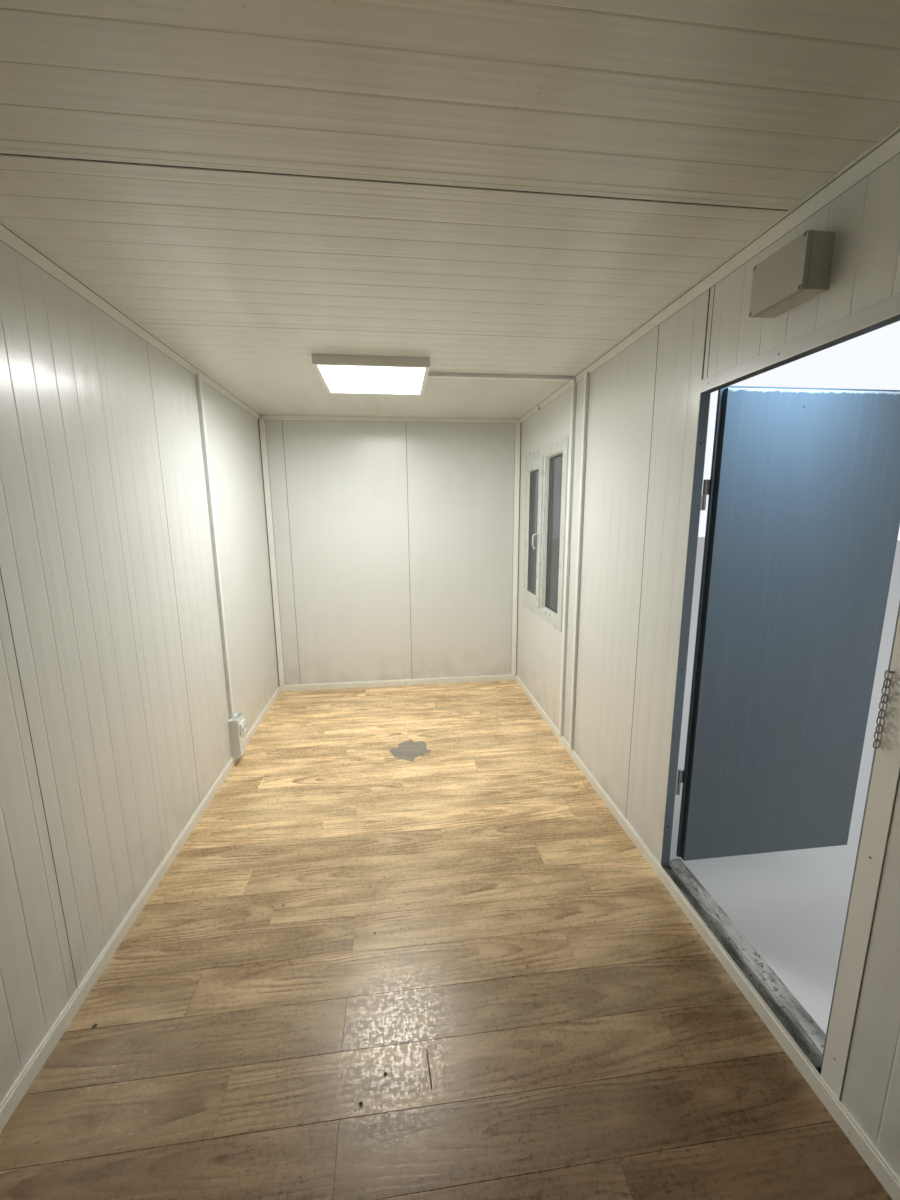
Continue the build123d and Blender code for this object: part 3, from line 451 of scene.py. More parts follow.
# Flat steel door leaf: old drips, grime near the foot, a pale line under the inner face's upper
# edge that is a painted highlight on rubbed paint, and one dark mark
leafPaint = {"paint": ((0.090, 0.112, 0.122), (0.120, 0.146, 0.158)),
             "drips": (0.145, 0.172, 0.184), "grime": (0.095, 0.108, 0.10),
             # a pale colour and its height band: a painted highlight on rubbed paint under the
             # inner face's upper edge
             "grimeReach": (0.3, 1.5), "highlightLine": (0.62, 0.64, 0.64),
             "highlightLineReach": (2.241, 2.250), "innerFace": (0.3702, 0.3706),
             "mark": (0.07, 0.075, 0.08), "markPlace": (1.566, 0.370, 2.190), "markRadius": 0.007}


def leafFinish():
    paint = leafPaint
    made = Finish("doorPaint", {"Coat Weight": 0.15, "Coat Roughness": 0.25})
    streak = made.cloud(3.0, 5.0, (1.0, 1.0, 0.25))
    grime = made.rise(made.cloud(5.0, 6.0), 0.45, 0.8) \
        * (1.0 - made.rise(made.z, *paint["grimeReach"]))
    drip = made.rise(made.cloud(1.0, 3.0, (60.0, 60.0, 1.4)), 0.45, 0.75)
    # painted highlight on rubbed paint along the inner face's upper edge
    highlightLine = made.rise(made.z + (made.cloud(55.0, 5.0) - 0.5) * 0.020, *paint["highlightLineReach"])
    highlightLine = highlightLine * (1.0 - made.rise(made.y, *paint["innerFace"]))
    mark = made.spot(paint["markPlace"], paint["markRadius"], 0.006, 90.0)
    base = made.mix(streak, *paint["paint"])
    base = made.mix(drip * 0.30, base, paint["drips"])
    base = made.mix(highlightLine * 0.75, base, paint["highlightLine"])
    base = made.mix(mark, base, paint["mark"])
    made.feed(colour=made.mix(grime * 0.6, base, paint["grime"]),
              roughness=0.40 + made.cloud(12.0, 5.0) * 0.2,
              height=made.cloud(1.6, 2.0) * 0.002)
    return made


dress(leafFinish(), "door_leaf")


# Threshold: pale paint worn through to grey steel, dirtiest along its inner edge
thresholdPaint = {"paint": (0.55, 0.55, 0.52), "steel": (0.20, 0.20, 0.19),
                  "chips": (0.13, 0.12, 0.105), "grime": (0.055, 0.052, 0.045),
                  "innerReach": (1.150, 1.178)}


def thresholdFinish():
    paint = thresholdPaint
    made = Finish("thresholdPaint")
    scrape = made.rise(made.cloud(26.0, 6.0, (1.0, 0.22, 1.0), roughness=0.7), 0.46, 0.60)
    chips = made.rise(made.cloud(60.0, 5.0, roughness=0.65), 0.56, 0.63)
    grime = made.rise(made.cloud(9.0, 6.0, (1.0, 0.5, 1.0)), 0.42, 0.70)
    inner = 1.0 - made.rise(made.x, *paint["innerReach"])
    base = made.mix(scrape * 0.8, paint["paint"], paint["steel"])
    base = made.mix(chips, base, paint["chips"])
    darkening = (grime * 0.55 + inner * 0.5).least(0.92)
    made.feed(colour=made.mix(darkening, base, paint["grime"]),
              roughness=0.45 + scrape * 0.2, height=(scrape + chips) * -0.0003)
    return made


dress(thresholdFinish(), "door_threshold")


# Plywood board under the covering
def boardFinish():
    made = Finish("floorBoard")
    grain = made.cloud(8.0, 6.0, (0.2, 1.0, 1.0))
    made.feed(colour=made.mix(grain, (0.20, 0.13, 0.075), (0.34, 0.24, 0.15)),
              roughness=0.6 + grain * 0.2, height=grain * 0.0004)
    return made


dress(boardFinish(), "floor_board")

# Wood-look planks on the floor; seams gives where a row's joints start, counted from the door
planks = {"pitch": 0.166, "rowStart": -0.343, "length": 1.355, "seam": 0.0007, "edge": 0.0005,
          "low": 0.168, "top": 0.170, "halfX": 1.1275, "halfY": 2.9375,
          "shortest": 0.02, "faces": 10,
          "seams": {-2: 0.503, -1: -0.217, 0: -0.549, 1: -0.229, 2: -0.757, 3: -0.225, 4: 0.786,
                    5: -0.723, 6: 0.174}}
wood = {"pale": ((0.315, 0.215, 0.108), (0.56, 0.420, 0.240)), "streak": (0.190, 0.118, 0.056),
        "cream": (0.66, 0.53, 0.35), "ring": (0.190, 0.108, 0.050), "ringStep": 0.0165,
        "pore": (0.20, 0.118, 0.062), "fleck": (0.60, 0.45, 0.29), "knot": (0.050, 0.028, 0.016),
        "scrape": (0.070, 0.045, 0.028), "scuff": (0.33, 0.29, 0.24),
        # Painted shade: planks drawn darker and redder towards the near end, and how far that
        # reaches
        "paintedShadeTint": (0.86, 0.72, 0.69), "paintedShadeReach": (-0.9, 0.4),
        # The planks' own tones, then painted light: planks drawn brighter towards the lamp at the
        # far end, and how far that reaches
        "plankTone": (0.84, 0.28), "paintedLightPool": (0.65, 1.46), "paintedLightReach": (-0.9, 1.35),
        "gloss": 0.37, "glints": 0.14}
floorMarks = {"patch": ((0.045, 1.672, 0.170), 0.165), "patchColour": (0.205, 0.200, 0.185),
              "scratch": (0.0355, -0.255), "scratchLean": 0.067, "scratchHalf": (0.0010, 0.0030),
              "scratchReach": (0.044, 0.056), "dark": (0.040, 0.024, 0.014),
              "specks": (((-0.144, 0.230), 0.006), ((-0.535, 0.413), 0.006),
                         ((-0.429, 0.484), 0.005), ((0.415, 0.021), 0.005),
                         ((0.354, -0.009), 0.004), ((-1.034, -0.004), 0.009),
                         ((-0.161, -0.316), 0.008), ((-0.094, -0.253), 0.007))}


# A worn-through patch, and a scratch with a few dark specks
def markMasks(made):
    patch = made.rise(made.spot(*floorMarks["patch"], 0.19, 13.0), 0.35, 0.55)
    scratchX, scratchY = floorMarks["scratch"]
    beside = made.x - scratchX + (made.y - scratchY) * floorMarks["scratchLean"]
    dark = (1.0 - made.rise(abs(beside), *floorMarks["scratchHalf"])) \
        * (1.0 - made.rise(abs(made.y - scratchY), *floorMarks["scratchReach"]))
    for place, radius in floorMarks["specks"]:
        dark = dark.greatest(made.spot((*place, planks["top"]), radius, radius, 160.0))
    return patch, dark


# Rings of a log that is cut at a slant, differently for each plank, with pores and scrapes
def plankFinish():
    made = Finish("floorFinish", {"Specular IOR Level": 0.72, "Specular Tint": (1.0, 0.95, 0.86)})
    centre = made.node("ShaderNodeAttribute", {"attribute_name": "plankPlace"}, output="Vector")
    cx, cy, seed = made.split(centre)
    x, y = made.x - cx, made.y - cy
    shift = made.vector(x, y, seed * 9.0)

    def grain(detail, stretch, roughness=0.5):
        return made.cloud(1.0, detail, (*stretch, 1.0), shift, roughness)

    drift = grain(3.0, (2.2, 9.0)) - 0.5
    flutter = grain(3.0, (9.0, 46.0)) - 0.5
    height = (seed - 0.5) * 0.12 + x * (0.11 - seed * 0.05) + 0.010
    side = y + (seed * 7.0 % 1.0 - 0.5) * 0.07 + drift * 0.06
    reach = (side * side + height * height) ** 0.5 + drift * 0.020 + flutter * 0.0085
    ring = (reach / wood["ringStep"]) % 1.0
    late = made.rise(ring, 0.30, 0.86) * (1.0 - made.rise(ring, 0.88, 1.0))
    bold = made.rise(grain(2.0, (4.5, 26.0)), 0.28, 0.66)
    calm = made.rise(grain(2.0, (1.6, 5.0)), 0.42, 0.60)
    lines = grain(5.0, (1.5, 38.0), 0.60)
    pores = grain(4.0, (13.0, 420.0), 0.6)
    fleck = made.rise(grain(3.0, (22.0, 300.0)), 0.56, 0.70)
    knot = made.rise(grain(2.0, (26.0, 70.0)), 0.735, 0.79)
    crackle = made.cloud(1.0, 5.0, (48.0, 90.0, 1.0), made.place, 0.70)
    hatch = made.cloud(1.0, 3.0, (150.0, 40.0, 1.0), made.place, 0.6)
    scrape = made.rise(crackle, 0.60, 0.66) * made.rise(made.cloud(4.0, 3.0), 0.40, 0.60)
    scuff = made.rise(made.cloud(3.0, 5.0), 0.56, 0.8) \
        * made.rise(made.cloud(90.0, 3.0), 0.45, 0.62)
    patch, dark = markMasks(made)
    face = made.mix(made.rise(grain(3.0, (3.2, 12.0)), 0.3, 0.7), *wood["pale"])
    for mask, colour in ((made.rise(lines, 0.50, 0.66) * 0.50, wood["streak"]),
                         (made.rise(lines, 0.36, 0.28) * 0.50, wood["cream"]),
                         (late * (bold * 0.75 + 0.2) * (1.0 - calm * 0.88), wood["ring"]),
                         (made.rise(pores, 0.46, 0.66) * 0.28, wood["pore"]),
                         (fleck * 0.40, wood["fleck"]), (knot * 0.80, wood["knot"]),
                         (scrape * 0.6, wood["scrape"])):
        face = made.mix(mask, face, colour)
    base, spread = wood["plankTone"]
    # painted light: each plank's own tone raised towards the lamp at the far end
    paintedLightLow, paintedLightPool = wood["paintedLightPool"]
    toneAndPaintedLight = (base + (seed * 13.0 % 1.0) * spread) \
        * (paintedLightLow + made.rise(made.y, *wood["paintedLightReach"]) * paintedLightPool)
    face = made.node("ShaderNodeVectorMath", {"operation": "SCALE"}, {0: face, "Scale": toneAndPaintedLight})
    # painted shade: the floor darker and redder towards the near end
    near = 1.0 - made.rise(made.y, *wood["paintedShadeReach"])
    face = made.mix(near, face, wood["paintedShadeTint"], "MULTIPLY")
    face = made.mix(scuff * 0.28, face, wood["scuff"])
    face = made.mix(patch * 0.85, face, floorMarks["patchColour"])
    face = made.mix(dark, face, floorMarks["dark"])
    glint = made.rise(crackle * 0.6 + hatch * 0.4, 0.47, 0.54)
    emboss = crackle * 0.00017 + hatch * 0.00012 + grain(3.0, (40.0, 330.0)) * 0.00010
    made.feed(colour=face,
              roughness=wood["gloss"] - glint * wood["glints"] + pores * 0.06 + scuff * 0.08
              + patch * 0.2 + dark * 0.5,
              height=emboss - late * 0.00006 + made.cloud(2.0, 2.0) * 0.0006)
    return made


def makePlanks():
    shape = Shape()
    spread = random.Random(7)
    places = []
    first = math.floor((-planks["halfY"] - planks["rowStart"]) / planks["pitch"])
    last = math.ceil((planks["halfY"] - planks["rowStart"]) / planks["pitch"])
    for row in range(first, last):
        nearY = max(-planks["halfY"], planks["rowStart"] + row * planks["pitch"])
        farY = min(planks["halfY"], planks["rowStart"] + (row + 1) * planks["pitch"])
        seam = planks["seams"].get(row, spread.uniform(-0.6, 0.7))
        cuts = [seam + index * planks["length"] for index in range(-2, 3)]
        cuts = [cut for cut in cuts if abs(cut) < planks["halfX"] - planks["shortest"]]
        ends = [-planks["halfX"], *cuts, planks["halfX"]]
        middle = planks["rowStart"] + (row + 0.5) * planks["pitch"]
        for start, end in zip(ends, ends[1:]):
            gap = planks["seam"] / 2
            shape.slab((start + gap, nearY + gap, planks["low"]),
                       (end - gap, farY - gap, planks["top"]), planks["edge"])
            places += [((start + end) / 2, middle, spread.random())] * planks["faces"]
    made = shape.piece("floorPlanks", plankFinish(), "floor_finish")
    attribute = made.data.attributes.new("plankPlace", "FLOAT_VECTOR", "FACE")
    for index, place in enumerate(places):
        attribute.data[index].vector = place
    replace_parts(made, "floor_covering")
    return made


floorPlanks = makePlanks()
print("planks laid:", len(floorPlanks.data.polygons), "faces")

# Double glazing: two sheets, a spacer and the gaskets
glazing = {"sheet": 0.004, "unit": 0.024, "spacerWidth": 0.009, "gasket": 0.004, "lip": 0.0022,
           "fixed": {"x": 1.1475, "y": (1.7985, 2.1635), "z": (1.048, 2.212), "bead": 0.018},
           "sash": {"x": 1.1205, "y": (2.3035, 2.5605), "z": (1.128, 2.132), "bead": 0.0}}


def glassFinish():
    made = Finish("windowGlass", {"Roughness": 0.03, "Base Color": (0.10, 0.11, 0.11),
                                  "Specular IOR Level": 0.6})
    made.feed(alpha=0.42 + made.rise(made.cloud(5.0, 5.0), 0.5, 0.9) * 0.12)
    return made


# Four bars around a rectangle that stands in the YZ plane
def frameRing(shape, x0, x1, y, z, width):
    (y0, y1), (z0, z1) = y, z
    shape.slab((x0, y0, z0), (x1, y1, z0 + width))
    shape.slab((x0, y0, z1 - width), (x1, y1, z1))
    shape.slab((x0, y0, z0 + width), (x1, y0 + width, z1 - width))
    shape.slab((x0, y1 - width, z0 + width), (x1, y1, z1 - width))


def makeGlazing():
    sheets, spacers, gaskets = Shape(), Shape(), Shape()
    for light in (glazing["fixed"], glazing["sash"]):
        x, y, z = light["x"], light["y"], light["z"]
        back = x + glazing["unit"]
        sheets.slab((x, y[0], z[0]), (x + glazing["sheet"], y[1], z[1]))
        sheets.slab((back - glazing["sheet"], y[0], z[0]), (back, y[1], z[1]))
        edge = light["bead"]
        inner = ((y[0] + edge, y[1] - edge), (z[0] + edge, z[1] - edge))
        frameRing(spacers, x + glazing["sheet"], back - glazing["sheet"], *inner,
                  glazing["spacerWidth"])
        frameRing(gaskets, x - glazing["lip"], x, *inner, glazing["gasket"])
        frameRing(gaskets, back, back + glazing["lip"], *inner, glazing["gasket"])
    made = sheets.piece("windowGlassSheets", glassFinish(), "window_glass")
    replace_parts(made, "window_panes")
    spacers.piece("windowSpacers", spacerMetal, "window_glass")
    gaskets.piece("windowGaskets", rubber, "window_plastic")


makeGlazing()
print("window glazed")


# Crown along the ceiling and the leaning strips in the corners, both of folded sheet. Profiles
# are (away from the wall, height) and (away from the side wall, away from the end wall)
folded = {"crown": ((0.0130, 2.6199), (0.0012, 2.5840), (0.0002, 2.5840), (0.0002, 2.5880),
                    (0.0105, 2.6199)),
          "corner": ((0.0480, 0.0002), (0.0002, 0.0360), (0.0002, 0.0332), (0.0443, 0.0002)),
          "trunkingEnds": (((1.0905, 1.6115, 2.6040), (1.1283, 1.6515, 2.6199)),
                           ((1.1085, 1.6115, 2.562), (1.1283, 1.6515, 2.6040)),
                           ((1.1085, 1.4165, 2.562), (1.1283, 1.4465, 2.5950)),
                           ((-1.1283, 1.6435, 2.562), (-1.1085, 1.6835, 2.5950)))}


def makeFoldedTrims():
    crown, corners, ends = Shape(), Shape(), Shape()
    turns = ((1, 1), (-1, 1), (-1, -1), (1, -1))
    rings = [crown.ring([(sx * (room["halfWidth"] - away), sy * (room["halfLength"] - away), z)
                         for away, z in folded["crown"]]) for sx, sy in turns]
    crown.skin(rings + rings[:1], capped=False)
    for sx, sy in turns:
        corners.skin([corners.ring([(sx * (room["halfWidth"] - a), sy * (room["halfLength"] - b), z)
                                    for a, b in folded["corner"]])
                      for z in (room["skirtingTop"], room["crownLow"])])
    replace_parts(crown.piece("crownStrips", crownPaint, "room_trim"), "ceiling_trims")
    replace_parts(corners.piece("cornerStrips", crownPaint, "room_trim"), "corner_trims")
    for low, high in folded["trunkingEnds"]:
        ends.slab(low, high)
    ends.piece("trunkingEnds", trunkPlastic, "trunking_plastic")


makeFoldedTrims()
print("trims folded")

# Seals in the panel joints, and thin dark lines along the trims that are partly sealant and
# partly painted shadow. Depths are counted into the wall from its face, and joints are given by
# their middle
seams = {
    "half": 0.0017, "sunk": (0.0008, 0.0025), "flush": (0.0001, 0.0025), "line": 0.0016,
    "proud": 0.0006, "right": (2.7425, 1.6905, 0.6905, -1.4495, -2.4495),
    "left": (-2.3095, -1.3095, -0.3095, 0.6905, 1.6905, 2.6905), "ends": (-0.9415, 0.1045),
    "leftDark": ((0.0800, 0.0023), (1.1040, 0.0015), (-0.9500, 0.0020)),
    "rightDark": (0.6905, 0.0026),
    "ceiling": (1.9995, 0.9995, -1.0005, -2.0005), "lapped": (-0.0040, 0.0),
    "overDoor": ((0.3600, 0.3642), (0.3318, 0.3352), (-0.4205, -0.4168)), "overDoorLow": 2.275,
    "overDoorDepth": (0.0006, 0.0030),
    # A dark lip beside each corner strip stands in for its shadow on the side wall
    "cornerSide": 0.036, "cornerSideWidth": 0.0008, "cornerShadowLip": 0.009,
    # A dark strip at the crown's top edge stands in for the shadow where the flange meets the
    # ceiling
    "cornerEnd": 0.048, "cornerEndWidth": 0.0026, "ceilingShadowLine": 0.004,
    "crownJoint": (2.3628, 2.3640), "crownJointProud": 0.0005,
    "trunks": ((1, 1.6115, 1.6515, 0.230), (1, 1.4165, 1.4465, 0.230), (-1, 1.6435, 1.6835, 0.484)),
    "overheadTrunk": ((0.1935, 1.1030), (1.6115, 1.6515)),
    "doorTrims": (((1.1279, -0.5055, 0.230), (1.1285, -0.504, 2.275)),
                  ((1.1279, -0.504, 2.275), (1.1285, 0.3625, 2.2765))),
    "junctionBox": (1.0640, 1.0650, (-0.1424, 0.0444), (2.3646, 2.5014), 0.001),
    "sash": (1.1199, 1.1205, (2.2113, 2.6527), (1.0358, 2.2242), 0.0024),
}


def wallStrip(shape, side, ends, levels, depth):
    face = room["halfWidth"]
    low, high = sorted((side * (face + depth[0]), side * (face + depth[1])))
    shape.slab((low, ends[0], levels[0]), (high, ends[1], levels[1]))


def endStrip(shape, end, ends, levels, depth):
    face = room["halfLength"]
    low, high = sorted((end * (face + depth[0]), end * (face + depth[1])))
    shape.slab((ends[0], low, levels[0]), (ends[1], high, levels[1]))


def makeJointSeals():
    dark, pale = Shape(), Shape()
    half = seams["half"]
    standing = (room["skirtingTop"], room["crownLow"])
    for y in seams["right"]:
        wallStrip(dark, 1, (y - half, y + half), standing, seams["sunk"])
    for y in seams["left"]:
        wallStrip(pale, -1, (y - half, y + half), standing, seams["flush"])
    for end in (1, -1):
        for x in seams["ends"]:
            endStrip(dark, end, (x - half, x + half), standing, seams["sunk"])
    for span in seams["overDoor"]:
        wallStrip(dark, 1, span, (seams["overDoorLow"], room["crownLow"]), seams["overDoorDepth"])
    spans = [(y - half, y + half) for y in seams["ceiling"]] + [seams["lapped"]]
    low, high = (room["ceiling"] + depth for depth in seams["sunk"])
    for y0, y1 in spans:
        dark.slab((-room["crownInner"], y0, low), (room["crownInner"], y1, high))
    dark.piece("panelJointSeals", shadowGap, "panel_sheet")
    pale.piece("leftWallJointSeals", paleSeal, "panel_sheet")


# Dark lines along the crown, around the corner strips and where the flange meets the ceiling,
# painted as the shadows at the trims' edges, and a joint line in the crown
def addTrimLines(shape, low, high):
    line, proud = seams["line"], (-seams["proud"], 0.0)
    reachX, reachY = room["halfWidth"], room["halfLength"]
    inner, width = room["crownInner"], seams["ceilingShadowLine"]
    innerY = reachY - (reachX - inner)
    under = room["flange"] - seams["proud"]
    for side in (1, -1):
        # painted shadow lines under the crown's lower edge, here and on the end walls below
        wallStrip(shape, side, (-reachY, reachY), (high - line, high), proud)
        for end in (1, -1):
            # dark lip beside the corner strip, standing in for its shadow
            edge = end * (reachY - seams["cornerSide"])
            wallStrip(shape, side, sorted((edge, edge - end * seams["cornerSideWidth"])),
                      (low, high), (-seams["cornerShadowLip"], 0.0))
            edge = side * (reachX - seams["cornerEnd"])
            endStrip(shape, end, sorted((edge, edge - side * seams["cornerEndWidth"])),
                     (low, high), proud)
        # painted shadow line where the flange meets the ceiling, along the crown's top edge
        ends = sorted((side * inner, side * (inner - width)))
        shape.slab((ends[0], -reachY, under), (ends[1], reachY, room["flange"]))
        endStrip(shape, side, (-reachX, reachX), (high - line, high), proud)
        ends = sorted((side * innerY, side * (innerY - width)))
        shape.slab((-inner, ends[0], under), (inner, ends[1], room["flange"]))
    near, far = seams["crownJoint"]
    shape.slab((inner - seams["crownJointProud"], near, high), (reachX, far, room["flange"]))


def makeSealantAndShadowLines():
    shape = Shape()
    line, proud = seams["line"], (-seams["proud"], 0.0)
    low, high = room["skirtingTop"], room["crownLow"]
    addTrimLines(shape, low, high)
    for side, joints in ((-1, seams["leftDark"]), (1, (seams["rightDark"],))):
        for y, width in joints:
            wallStrip(shape, side, (y - width / 2, y + width / 2), (low, high), proud)
    # lines beside the over-door fillers, the trunkings and the cover strips: sealant with painted
    # shadow
    wallStrip(shape, 1, seams["overDoor"][1], (seams["overDoorLow"], high), proud)
    for side, near, far, foot in seams["trunks"]:
        wallStrip(shape, side, (near - line, near), (foot, high), proud)
        wallStrip(shape, side, (far, far + line), (foot, high), proud)
    (start, stop), (near, far) = seams["overheadTrunk"]
    for y in (near - line, far):
        shape.slab((start, y, room["ceiling"] - seams["proud"]), (stop, y + line, room["ceiling"]))
    for lowCorner, highCorner in seams["doorTrims"]:
        shape.slab(lowCorner, highCorner)
    shape.piece("sealantAndShadowLines", sealantAndShadow, "room_trim")
    box, sash = Shape(), Shape()
    frameRing(box, *seams["junctionBox"])
    box.piece("junctionBoxSeam", shadowGap, "box_plastic")
    # dark ring around the sash: gasket with the painted shadow of the sash's edge
    frameRing(sash, *seams["sash"])
    sash.piece("sashSeam", sealantAndShadow, "window_plastic")


makeJointSeals()
makeSealantAndShadowLines()
print("seams drawn")


# Fastener heads as shallow domes with a driver recess
def headProfile(radius):
    return [(0.0, radius), (radius * 0.25, radius), (radius * 0.55, radius * 0.72),
            (radius * 0.62, radius * 0.42), (radius * 0.20, radius * 0.34)]


# heads are (place, direction that they face, radius)
def makeHeads(name, heads, finish, slot):
    shape = Shape()
    for place, direction, radius in heads:
        shape.lathe(place, direction, headProfile(radius))
    shape.piece(name, finish, slot)


screws = {"hingePlateOut": 1.1935, "hingeY": 0.442, "hingeZ": (0.552, 0.588, 1.812, 1.848),
          "hingeHead": 0.0045, "jambX": 1.1465, "jambY": 0.3625, "jambZ": (0.420, 1.150, 2.050),
          "jambHead": 0.0042, "trimX": 1.1255, "rivetHead": 0.0032,
          "sideTrim": ((-0.476, 0.330), (-0.476, 0.950), (-0.476, 1.650), (-0.476, 2.180)),
          "headTrim": ((-0.36, 2.252), (0.0, 2.252), (0.32, 2.252))}


def makeDoorScrews():
    heads = [((screws["hingePlateOut"], screws["hingeY"], z), (1, 0, 0), screws["hingeHead"])
             for z in screws["hingeZ"]]
    heads += [((screws["jambX"], screws["jambY"], z), (0, -1, 0), screws["jambHead"])
              for z in screws["jambZ"]]
    makeHeads("doorFrameScrews", heads, darkSteel, "hinge_steel")
    heads = [((screws["trimX"], y, z), (-1, 0, 0), screws["rivetHead"])
             for y, z in screws["sideTrim"] + screws["headTrim"]]
    makeHeads("coverStripRivets", heads, rivetPaint, "room_trim")


makeDoorScrews()


# Black hollow seal on the frame's stop, with rounded lips
doorSeal = {"x": (1.1655, 1.1695), "width": 0.011, "y": (-0.428, 0.371), "low": 0.228,
            "head": 2.238, "rounding": (0.001, 0.004)}


def makeDoorSeal():
    shape = Shape()
    x0, x1 = doorSeal["x"]
    near, far = doorSeal["y"]
    width, head = doorSeal["width"], doorSeal["head"]
    small, large = doorSeal["rounding"]

    def profile(start):
        stop, middle = start + width, (x0 + x1) / 2
        return [(x0, start), (middle, start + small), (x1, start + large), (x1, stop - large),
                (middle, stop - small), (x0, stop)]

    for start in (far, near - width):
        shape.skin([shape.ring([(x, y, z) for x, y in profile(start)])
                    for z in (doorSeal["low"], head + width)])
    shape.skin([shape.ring([(x, y, z) for x, z in profile(head)]) for y in (near, far)])
    shape.piece("doorSeal", rubber, "door_frame_steel")


makeDoorSeal()


# Latch plate with its bolt on the leaf's free edge
latch = {"edge": 2.0705, "plate": 0.0008, "y": (0.3735, 0.3915), "z": (1.020, 1.255),
         "bolt": 0.0030, "boltY": (0.3780, 0.3880), "boltZ": (1.100, 1.135),
         "screws": (1.034, 1.241), "head": 0.0038}


def makeLatch():
    face = latch["edge"] + latch["plate"]
    shape = Shape()
    for y, z, x0, x1 in ((latch["y"], latch["z"], latch["edge"], face),
                         (latch["boltY"], latch["boltZ"], face, face + latch["bolt"])):
        shape.slab((x0, y[0], z[0]), (x1, y[1], z[1]))
    for z in latch["screws"]:
        shape.lathe((face, sum(latch["y"]) / 2, z), (1, 0, 0), headProfile(latch["head"]))
    shape.piece("doorLatchPlate", handleMetal, "handle_metal", "door")


makeLatch()
print("door fitted")


# Hexagon screws on washers along the crests of the roof sheet
roofScrews = {"x": (-1.10, -0.38, 0.38, 1.10), "first": -2.781, "pitch": 0.206, "count": 28,
              "top": 2.7925,
              "washer": ((0.0, 0.0095), (0.0012, 0.0095), (0.0020, 0.0080)),
              "head": ((0.0020, 0.0052), (0.0062, 0.0052), (0.0070, 0.0042))}


def makeRoofScrews():
    shape = Shape()
    for index in range(roofScrews["count"]):
        y = roofScrews["first"] + index * roofScrews["pitch"]
        for x in roofScrews["x"]:
            place = (x, y, roofScrews["top"])
            shape.lathe(place, (0, 0, 1), roofScrews["washer"])
            shape.lathe(place, (0, 0, 1), roofScrews["head"], 6)
    shape.piece("roofScrews", hingeSteel, "galvanised_sheet")


makeRoofScrews()
print("roof screwed down")

# Ceiling lamp
lamp = {"glow": (0.985, 1.0, 0.990), "panelStrength": 7.0, "level": 26.9, "spread": 173.0,
        "centre": (-0.1165, 1.651, 2.5745), "size": 0.572}


def lampFinish():
    made = Finish("lampDiffuser", {"Base Color": (0.9, 0.9, 0.88), "Roughness": 0.4,
                                   "Emission Color": lamp["glow"],
                                   "Emission Strength": lamp["panelStrength"]})
    made.feed(height=made.cloud(300.0, 1.0) * 0.00005)
    return made


dress(lampFinish(), "lamp_panel")

# Studio: floor, soft lights, and flags that keep the room lit by its own lamp. Two of the lights
# stand for the daylight at the doorway and fall only on the nodes that they name
studio = {"floor": (0.80, 0.80, 0.79), "half": 30.0, "world": 0.55, "sky": (0.94, 0.97, 1.0)}
lights = {
    "keyLight": {"place": (6.0, -7.0, 7.5), "aim": (0.0, 0.0, 1.0), "size": (6.0, 6.0),
                 "level": 1.6},
    "fillLight": {"place": (-8.0, 6.0, 6.0), "aim": (0.0, 0.0, 1.2), "size": (7.0, 5.0),
                  "level": 0.7},
    "doorSkyLight": {"place": (1.52, -0.08, 2.80), "aim": (1.50, 0.37, 2.16),
                     "size": (0.40, 0.22), "level": 36.0, "colour": (0.46, 0.70, 1.0),
                     "spread": 84.0, "falls": ("door_leaf",)},
    "jambLight": {"place": (1.158, -0.405, 1.24), "aim": (1.150, 0.36, 1.24),
                  "size": (0.022, 1.9), "level": 9.0, "colour": (0.86, 0.94, 1.0),
                  "spread": 80.0, "falls": ("door_frame", "hinge_frame_halves")},
}
flags = {"doorwayFlag": (1.1693, (-0.4285, 0.3665), (0.2265, 2.2335)),
         "fixedLightFlag": (1.1722, (1.7985, 2.1635), (1.048, 2.212)),
         "sashFlag": (1.1452, (2.3035, 2.5605), (1.128, 2.132))}


def stagePlane(name, corners, finish, seen):
    data = bpy.data.meshes.new(name)
    data.from_pydata(corners, [], [(0, 1, 2, 3)])
    made = bpy.data.objects.new(name, data)
    bpy.context.scene.collection.objects.link(made)
    data.materials.append(finish.material)
    made.visible_camera = seen
    made.visible_transmission = seen


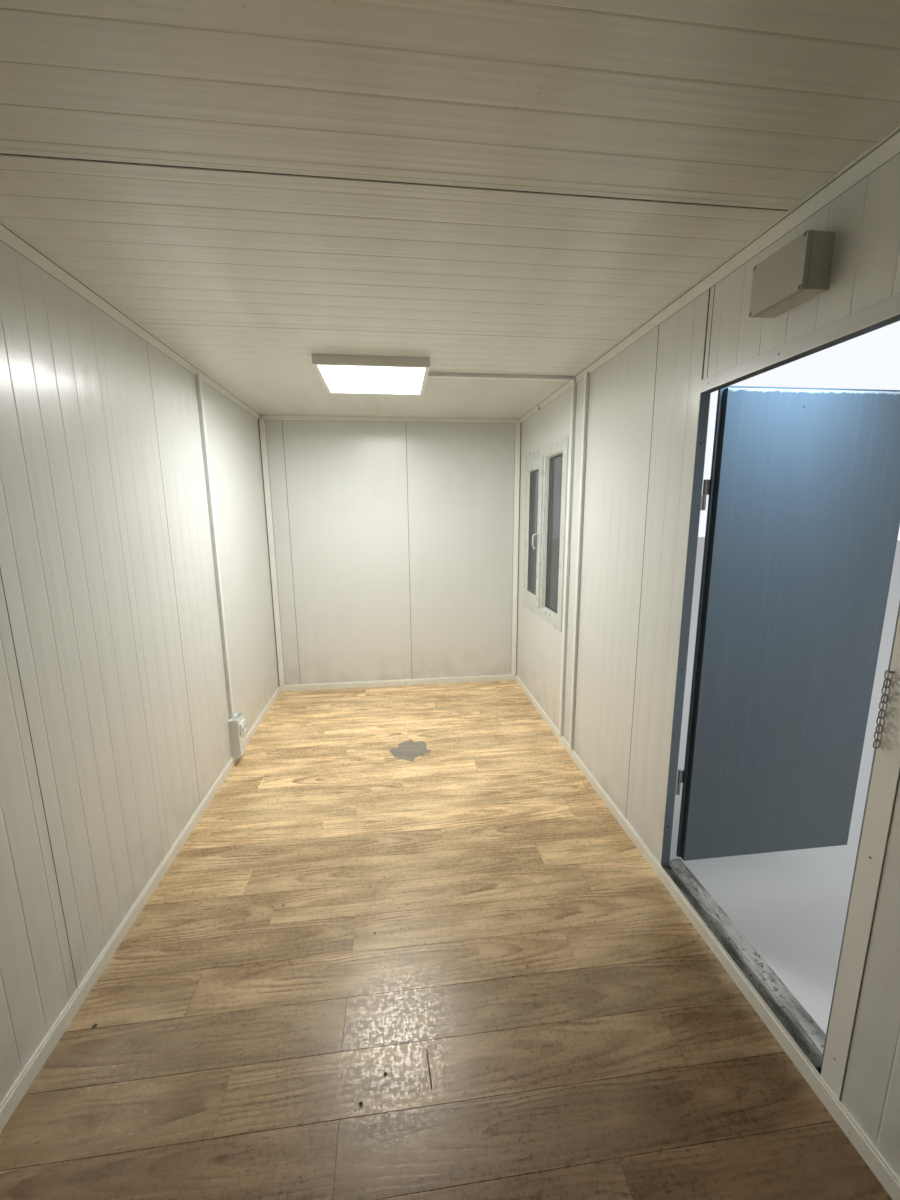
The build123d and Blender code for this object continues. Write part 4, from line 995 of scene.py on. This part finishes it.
# shown lets glossy surfaces reflect the light
def softLight(name, place, aim, size, level, colour=(1.0, 1.0, 1.0), spread=180.0, falls=(),
              shown=False):
    data = bpy.data.lights.new(name, "AREA")
    data.shape = "RECTANGLE"
    data.size, data.size_y = size
    data.color = colour
    data.energy = level * size[0] * size[1] * math.pi
    data.spread = math.radians(spread)
    made = bpy.data.objects.new(name, data)
    bpy.context.scene.collection.objects.link(made)
    made.location = place
    made.rotation_mode = "QUATERNION"
    made.rotation_quaternion = (Vector(aim) - Vector(place)).to_track_quat("-Z", "Y")
    made.visible_camera = False
    made.visible_glossy = shown
    if falls:
        lit = bpy.data.collections.new(name + "Falls")
        for node in falls:
            lit.objects.link(nodes[node])
        made.light_linking.receiver_collection = lit


# Black towards the room, clear for the camera and for light that goes out of the room
def flagFinish():
    made = Finish("flagCloth")
    path = made.node("ShaderNodeLightPath", output="Is Camera Ray")
    behind = made.node("ShaderNodeNewGeometry", output="Backfacing")
    clear = made.node("ShaderNodeBsdfTransparent")
    black = made.node("ShaderNodeBsdfDiffuse", {}, {"Color": (0.004, 0.004, 0.004)})
    mixed = made.node("ShaderNodeMixShader", {}, {0: path.greatest(behind), 1: black, 2: clear})
    made.links.new(mixed.socket, made.nodes["Material Output"].inputs["Surface"])
    return made


def makeStudio():
    ground = Finish("studioFloor", {"Roughness": 0.9, "Base Color": studio["floor"]})
    half = studio["half"]
    corners = [(-half, -half, 0), (half, -half, 0), (half, half, 0), (-half, half, 0)]
    stagePlane("studioFloor", corners, ground, True)
    dark = flagFinish()
    for name, (x, (y0, y1), (z0, z1)) in flags.items():
        stagePlane(name, [(x, y0, z0), (x, y0, z1), (x, y1, z1), (x, y1, z0)], dark, False)
    x, y, z = lamp["centre"]
    softLight("ceilingLampLight", (x, y, z), (x, y, 0.0), (lamp["size"], lamp["size"]),
              lamp["level"], lamp["glow"], lamp["spread"], shown=True)
    for name, settings in lights.items():
        softLight(name, **settings)
    world = bpy.data.worlds.new("studioWorld")
    bpy.context.scene.world = world
    world.use_nodes = True
    tree = world.node_tree
    background = tree.nodes["Background"]
    light = tree.nodes.new("ShaderNodeLightPath")
    strength = tree.nodes.new("ShaderNodeMapRange")
    strength.inputs["To Min"].default_value = studio["world"]
    strength.inputs["To Max"].default_value = 1.0
    tree.links.new(light.outputs["Is Camera Ray"], strength.inputs["Value"])
    tree.links.new(strength.outputs["Result"], background.inputs["Strength"])
    background.inputs["Color"].default_value = (*studio["sky"], 1.0)


makeStudio()
bpy.context.scene.view_settings.view_transform = "Standard"
print("studio lit")
